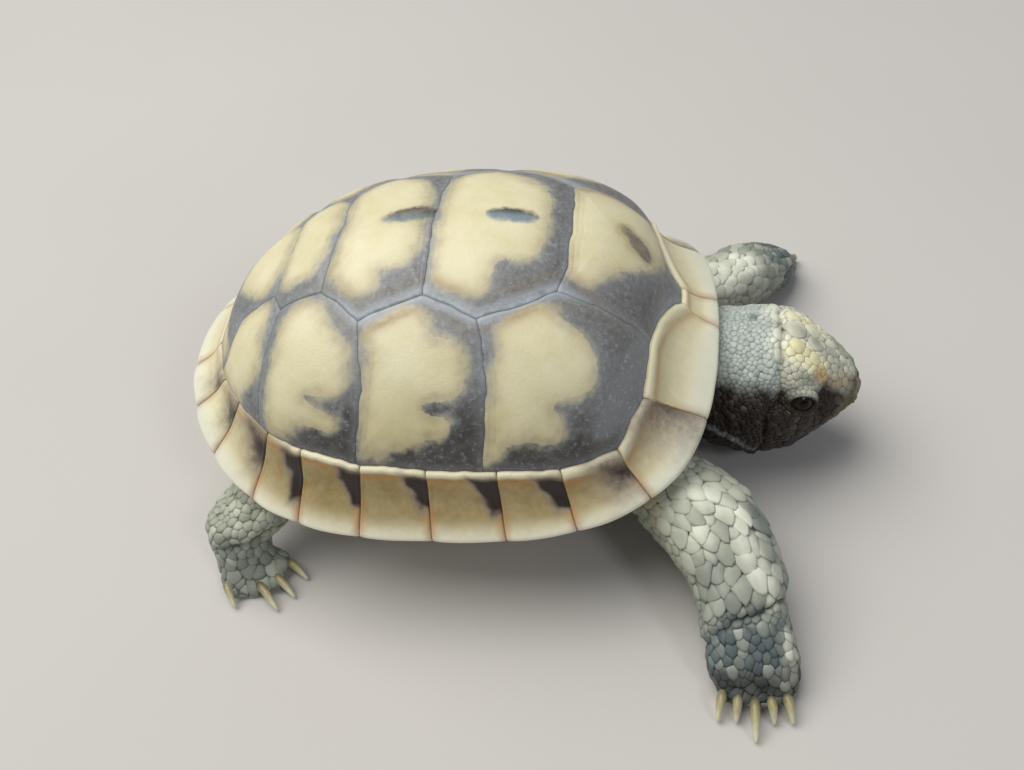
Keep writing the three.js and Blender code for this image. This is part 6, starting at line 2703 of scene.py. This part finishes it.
    def build(self, material: bpy.types.Material) -> list[bpy.types.Object]:
        """Build and dress the coat, one piece for each region.

        Args:
            material: The scales' own.

        Returns:
            The finished pieces.
        """
        places, sizes = self.seeds()
        _, ups = self.snap(places)
        buried = self.hidden(to_metres(places), ups)
        places, sizes, ups = places[~buried], sizes[~buried], ups[~buried]
        spots = Whereabouts.of(places)
        ways = unit(spots.way - ups * (spots.way * ups).sum(1, keepdims=True))
        ways = unit(ways + 1e-4 * self.random.normal(size=ways.shape))
        pale = nearest_marked(places, np.array(Pattern.pale), 1.0)
        # Pale raised scales are lighter in tone: partly painted highlight.
        tone = np.clip(self.random.normal(0, 0.3, len(places)), -1, 1) + pale * 0.55
        kinds, fields = Pattern().read(spots, ups), Complexion().fields(spots)
        scales = Scales(places, ups, ways, sizes, kinds, pale, tone, fields)
        pieces = []
        for region in Region:
            made = []
            for form, big in ((self.small, False), (self.large, True)):
                chosen = np.nonzero(spots.on(region) & ((sizes >= self.large_from) == big))[0]
                if len(chosen):
                    made.append(self.lay(form, chosen, scales))
            if made:
                pieces.append(self.join(region, made, scales, material))
        return pieces

    def lay(self, form: ScaleForm, chosen: Array, scales: Scales) -> Laid:
        """Lay one form of scale at the chosen places.

        Args:
            form: The scale's mesh.
            chosen: The numbers of the scales that get it.
            scales: Every scale.

        Returns:
            The scales laid.
        """
        turns = np.arange(form.corners) / form.corners * 2 * math.pi
        places, ups, ways = scales.places[chosen], scales.ups[chosen], scales.ways[chosen]
        size, left = scales.sizes[chosen], np.cross(ups, ways)
        overlap, lift = scales.kinds["overlap"][chosen], scales.kinds["lift"][chosen] * size
        height = scales.kinds["height"][chosen] * size * (1 + 0.5 * scales.pale[chosen])
        ahead = np.maximum(np.cos(turns), 0)[None]
        reaches = self.outlines(scales, chosen, form.corners) * self.spread
        along = np.cos(turns)[None] * reaches * (1 + overlap[:, None] * ahead)
        across = np.sin(turns)[None] * reaches
        points = np.empty((len(chosen), 2 + form.corners * (len(form.rings) + 1), 3))
        rise = np.zeros(points.shape[:2])
        offsets = np.zeros((*points.shape[:2], 2))
        ring_shares = (0.0, *form.rings, form.rings[-1])
        for n, share in enumerate(ring_shares):
            sunk = n == len(ring_shares) - 1
            flat, turn_cos, rows = places[:, None], np.zeros((1, 1)), slice(0, 1)
            if n:
                flat = flat + (along * share)[..., None] * ways[:, None]
                flat = flat + (across * share)[..., None] * left[:, None]
                turn_cos = np.cos(turns)[None]
                rows = slice(1 + (n - 1) * form.corners, 1 + n * form.corners)
                offsets[:, rows] = np.stack([np.cos(turns), np.sin(turns)], -1) * share
            base, up = (values.reshape(flat.shape) for values in self.snap(flat.reshape(-1, 3)))
            level = height[:, None] * (1 - share**2.6) + 0.05 * size[:, None]
            level = level + lift[:, None] * (0.5 + 0.5 * share * turn_cos)
            if sunk:
                level = level - 0.12 * size[:, None] - self.sink * (1 - np.maximum(turn_cos, 0) * 0.6)
            points[:, rows] = base + up * np.broadcast_to(level, flat.shape[:2])[..., None]
            rise[:, rows] = 0 if sunk else 1 - share**2
        points[:, -1] = places - ups * self.sink
        points[..., 2] = np.maximum(points[..., 2], Placing().floor + 0.01)
        return Laid(form, chosen, points, rise, offsets)

    def join(
        self, region: Region, made: Sequence[Laid], scales: Scales, material: bpy.types.Material
    ) -> bpy.types.Object:
        """Make one piece from all the scales of a region.

        Args:
            region: The region.
            made: Its scales of each form.
            scales: Every scale.
            material: The scales' material.

        Returns:
            The finished piece.
        """
        faces, maps = [], []
        start = 0
        for laid in made:
            count = laid.points.shape[1]
            starts = start + np.arange(len(laid.chosen)) * count
            faces.append((np.array(laid.form.faces())[None] + starts[:, None, None]).reshape(-1, 3))
            roots = np.array([self.unwrap.at(place) for place in to_metres(scales.places[laid.chosen])])
            maps.append((roots[:, None] + laid.offsets * self.patch).reshape(-1, 2))
            start += count * len(laid.chosen)
        points = np.vstack([laid.points.reshape(-1, 3) for laid in made])
        owners = np.concatenate([np.repeat(laid.chosen, laid.points.shape[1]) for laid in made])
        name = f"scales_{region.value}"
        mesh = bpy.data.meshes.new(name)
        mesh.from_pydata(to_metres(points).tolist(), [], np.vstack(faces).tolist())
        piece = bpy.data.objects.new(name, mesh)
        bpy.context.scene.collection.objects.link(piece)
        layer = mesh.uv_layers.new(name="OFBake")
        corners = Workshop.read(mesh.loops, "vertex_index", 1, np.int32)[:, 0]
        layer.data.foreach_set("uv", np.vstack(maps)[corners].astype(np.float32).ravel())
        Workshop.mark(piece, "rise", np.concatenate([laid.rise.ravel() for laid in made]))
        Workshop.mark(piece, "tone", scales.tone[owners])
        here = Complexion().fields(Whereabouts.of(points))
        for field, values in scales.fields.items():
            Workshop.mark(piece, field, mix(here[field], values[owners], self.own_colour))
        Workshop.only(piece)
        bpy.ops.object.shade_smooth()
        return hand_over(piece, material)


def nearest_marked(places: Array, marks: Array, reach: float) -> Array:
    """Return 1 for the place nearest each mark, if within reach, and 0 for the others."""
    found = np.zeros(len(places))
    for mark in marks:
        distance = np.linalg.norm(places - mark, axis=1)
        if distance.min() < reach:
            found[distance.argmin()] = 1
    return found


# ---------------------------------------------------------------- claws and eyes


@dataclass(frozen=True)
class Claws:
    """The claws of one foot: each leaves its toe almost level and curves down to the floor."""

    region: Region
    width: float = 0.39
    height: float = 0.42
    rows: int = 22
    columns: int = 18
    knots: tuple[float, ...] = (-0.15, 0.0, 0.25, 0.5, 0.72, 0.88, 1.0)
    levels: tuple[float, ...] = (-3.85, -3.72, -3.6, -3.72, -4.06, -4.42, -4.76)
    sizes: tuple[float, ...] = (0.8, 1.0, 1.08, 0.94, 0.72, 0.5, 0.24)

    def claw(self, share: float, number: int) -> bpy.types.Object:
        """Build one claw.

        Args:
            share: Its place across the foot.
            number: Its number on the foot.

        Returns:
            The claw.
        """
        foot = FEET[self.region]
        (x, y), way, length = foot.root(share)
        length *= foot.lengths[number]
        reach = np.linspace(self.knots[0], self.knots[-1], self.rows)
        level = np.interp(reach, self.knots, self.levels)
        level = np.convolve(np.pad(level, 1, mode="edge"), [0.25, 0.5, 0.25], mode="valid")
        size = np.interp(reach, self.knots, self.sizes)
        size[0] = size[-1] = 0.0
        ahead, aside = level_ways(way)
        spine = np.array([x, y, 0]) + ahead * (reach * length)[:, None]
        spine[:, 2] += level
        along = unit(np.gradient(spine, axis=0))
        up = np.cross(along, np.broadcast_to(aside, along.shape)) * -1
        up = np.where(up[:, 2:] < 0, -up, up)
        turns = np.linspace(0, 2 * math.pi, self.columns)
        across, lift = np.cos(turns), np.sin(turns)
        lift = np.where(lift > 0, lift * (1 + 0.12 * np.abs(lift) ** 3), lift * 0.62)
        grown = 1 + 0.02 * np.sin(reach * 34)[:, None]
        ring = (
            aside[None, None] * (across[None] * (size * self.width)[:, None] * grown)[..., None]
            + up[:, None] * (lift[None] * (size * self.height)[:, None] * grown)[..., None]
        )
        points = spine[:, None] + ring
        points[..., 2] = np.maximum(points[..., 2], Placing().floor + 0.02)
        marks = {
            "along": np.broadcast_to(reach[:, None], points.shape[:2]),
            "ridge": np.broadcast_to(np.maximum(np.sin(turns), 0)[None], points.shape[:2]),
        }
        return Workshop.wrapped(f"claw_{number}", points, marks)

    def build(self, material: bpy.types.Material) -> bpy.types.Object:
        """Build the foot's claws as one piece."""
        claws = [self.claw(share, i) for i, share in enumerate(FEET[self.region].claws)]
        return hand_over(Workshop.joined(claws, f"claws_{self.region.value}"), material)


@dataclass(frozen=True)
class ClawHorn:
    """Horn of the claws: olive brown at the root, honey coloured and then pale towards the point, paler
    along the top as painted light.
    """

    root: str = "4C4737"
    middle: str = "A0976E"
    tip: str = "E2DDBC"

    def material(self) -> bpy.types.Material:
        """Build the material."""
        shader = Shader("claw_horn", 0.36)
        along, ridge = shader.mark("along"), shader.mark("ridge")
        patch = shader.noise(0.5, 3)
        grain = shader.noise(0.1, 3)
        base = shader.layers(
            self.root,
            (self.middle, (along + patch * 0.4).step(-0.1, 0.45)),
            # Painted highlight: the pale point shows more along the claw's top.
            (self.tip, ((along + patch * 0.3).step(0.35, 0.95) * (0.6 + ridge * 0.4)).clamped()),
        )
        return shader.finish(base, grain * 0.6 + patch * 0.4, 0.03, 0.34 + patch * 0.2)


@dataclass(frozen=True)
class Eye:
    """An eyeball with a bulging cornea over a dark iris."""

    side: int
    rows: int = 48
    columns: int = 49
    cornea: float = 0.08
    iris: float = 0.6

    def build(self, material: bpy.types.Material) -> bpy.types.Object:
        """Build and dress the eye."""
        name = "eye_left" if self.side > 0 else "eye_right"
        out, ahead, up = SOCKET.axes(self.side)
        front, back = np.linspace(0, 1.0, self.rows * 2 // 3), np.linspace(1.06, math.pi, self.rows // 3)
        polar = np.concatenate([front, back])
        turns = np.linspace(0, 2 * math.pi, self.columns)
        radius = SOCKET.radius + self.cornea * (1 - smooth(polar, 0.2, self.iris + 0.12)) - 0.02
        ring = np.cos(turns)[None, :, None] * ahead + np.sin(turns)[None, :, None] * up
        points = SOCKET.centre(self.side) + radius[:, None, None] * (
            np.cos(polar)[:, None, None] * out + np.sin(polar)[:, None, None] * ring
        )
        away = np.broadcast_to(polar[:, None], points.shape[:2])
        piece = Workshop.wrapped(f"{name}.ball", points, {"polar": away})
        return hand_over(piece, material, [name])


@dataclass(frozen=True)
class EyeFinish:
    """A wet eye: a black pupil in a deep brown iris with a paler rim, and a dusky white."""

    pupil: str = "040304"
    iris: str = "21150E"
    light: str = "35251A"
    white: str = "221B18"

    def material(self) -> bpy.types.Material:
        """Build the material."""
        shader = Shader("eye", 0.1, 0.2)
        polar = shader.mark("polar")
        streaks = shader.noise(0.16, 4, 0.7)
        base = shader.layers(
            self.white,
            (self.iris, 1 - polar.step(0.56, 0.66)),
            (self.light, ((polar - 0.36 + streaks * 0.1).bell(0.09) * (0.55 + streaks)).clamped()),
            (self.pupil, 1 - (polar + streaks * 0.03).step(0.24, 0.29)),
        )
        return shader.finish(base, streaks, 0.004, 0.1 + polar * 0.12)


# ---------------------------------------------------------------- view and light


@dataclass(frozen=True)
class Lamp:
    """A square soft light that faces the animal, in metres and watts."""

    name: str
    place: Place
    size: float
    power: float
    tint: str
    aim: Place = (0, 0, 0.012)

    def hang(self) -> None:
        """Add the light to the scene."""
        data = bpy.data.lights.new(self.name, "AREA")
        data.shape = "SQUARE"
        data.size = self.size
        data.energy = self.power
        data.color = colour(self.tint)[:3]
        lamp = bpy.data.objects.new(self.name, data)
        lamp.location = self.place
        way = Vector(self.aim) - Vector(self.place)
        lamp.rotation_euler = way.to_track_quat("-Z", "Y").to_euler()
        bpy.context.scene.collection.objects.link(lamp)


@dataclass(frozen=True)
class Studio:
    """A plain pale floor, soft light and the camera."""

    eye: Place = (21.600529, -67.01495, 70.44678)
    target: Place = (7.731458, -11.454293, 14.0)
    roll: float = -0.191313
    lens: float = 34.047
    sensor: float = 36.0
    clip_start: float = 0.002
    floor_size: float = 1.6
    floor_colour: str = "C9C6C2"
    floor_shade: str = "BDB9B4"
    lamps: tuple[Lamp, ...] = (
        Lamp("key", (-0.17, 0.05, 0.42), 0.46, 2.6, "FFFDF8"),
        Lamp("fill", (0.3, -0.28, 0.34), 0.1, 0.42, "F4F6FF"),
    )
    sky: str = "DDE4EC"
    sky_strength: float = 0.24

    def camera(self) -> None:
        """Set up the camera."""
        eye, target = np.array(self.eye), np.array(self.target)
        ahead = unit(target - eye)
        right = unit(np.cross(ahead, np.array([0.0, 0.0, 1.0])))
        up = np.cross(right, ahead)
        across = right * math.cos(self.roll) + up * math.sin(self.roll)
        upright = -right * math.sin(self.roll) + up * math.cos(self.roll)
        turn = Matrix(np.stack([across, upright, -ahead], -1).tolist()).to_4x4()
        view = bpy.data.cameras.new("camera")
        view.lens = self.lens
        view.sensor_width = self.sensor
        view.clip_start = self.clip_start
        camera = bpy.data.objects.new("camera", view)
        camera.matrix_world = Matrix.Translation(Vector(to_metres(eye))) @ turn
        bpy.context.scene.collection.objects.link(camera)
        bpy.context.scene.camera = camera

    def build(self) -> None:
        """Set the floor, the lights, the surroundings and the camera."""
        bpy.ops.object.select_all(action="DESELECT")
        bpy.ops.mesh.primitive_plane_add(size=self.floor_size, location=(0, 0, 0))
        floor = bpy.context.object
        floor.name = "floor"
        shader = Shader("floor", 0.75, 0.25)
        share = (shader.noise(60, 2) * 0.5 + 0.5).clamped()
        base = shader.blend(self.floor_colour, self.floor_shade, share)
        floor.data.materials.append(shader.finish(base, shader.noise(0.5, 2), 0.01))
        for lamp in self.lamps:
            lamp.hang()
        scene = bpy.context.scene
        scene.view_settings.view_transform = "Standard"
        scene.cycles.use_denoising = True
        world = bpy.data.worlds.new("world")
        scene.world = world
        world.use_nodes = True
        background = world.node_tree.nodes["Background"]
        background.inputs["Color"].default_value = colour(self.sky)
        background.inputs["Strength"].default_value = self.sky_strength
        self.camera()


def shell_tree() -> BVHTree:
    """Return the shell's plates as one tree for casting rays."""
    points, faces = [], []
    for name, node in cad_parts.items():
        if name in Flesh.nodes or name.startswith("eye"):
            continue
        start = len(points)
        points.extend(vertex.co.copy() for vertex in node.data.vertices)
        faces.extend([start + i for i in polygon.vertices] for polygon in node.data.polygons)
    return BVHTree.FromPolygons(points, faces)


def main() -> None:
    """Build the animal's pieces in order and report them."""
    logging.basicConfig(level=logging.INFO, format="%(message)s")
    Studio().build()
    groups = [
        Carapace().build(CarapaceHorn().material()),
        Rim().build(RimHorn().material()),
        Plastron().build(BellyHorn().material()),
    ]
    shell = shell_tree()
    flesh = Flesh(shell)
    skin = flesh.build(SkinFinish().material(scales=False))
    groups.append([skin])
    groups.append(Coat(skin, flesh.hidden).build(SkinFinish().material(scales=True)))
    claw_horn = ClawHorn().material()
    groups.append([Claws(region).build(claw_horn) for region in FEET])
    eye_finish = EyeFinish().material()
    groups.append([Eye(side).build(eye_finish) for side in (-1, 1)])
    for pieces in groups:
        for piece in pieces:
            piece.data.calc_loop_triangles()
            LOG.info("%s: %d triangles", piece.name, len(piece.data.loop_triangles))


if __name__ == "__main__":
    main()
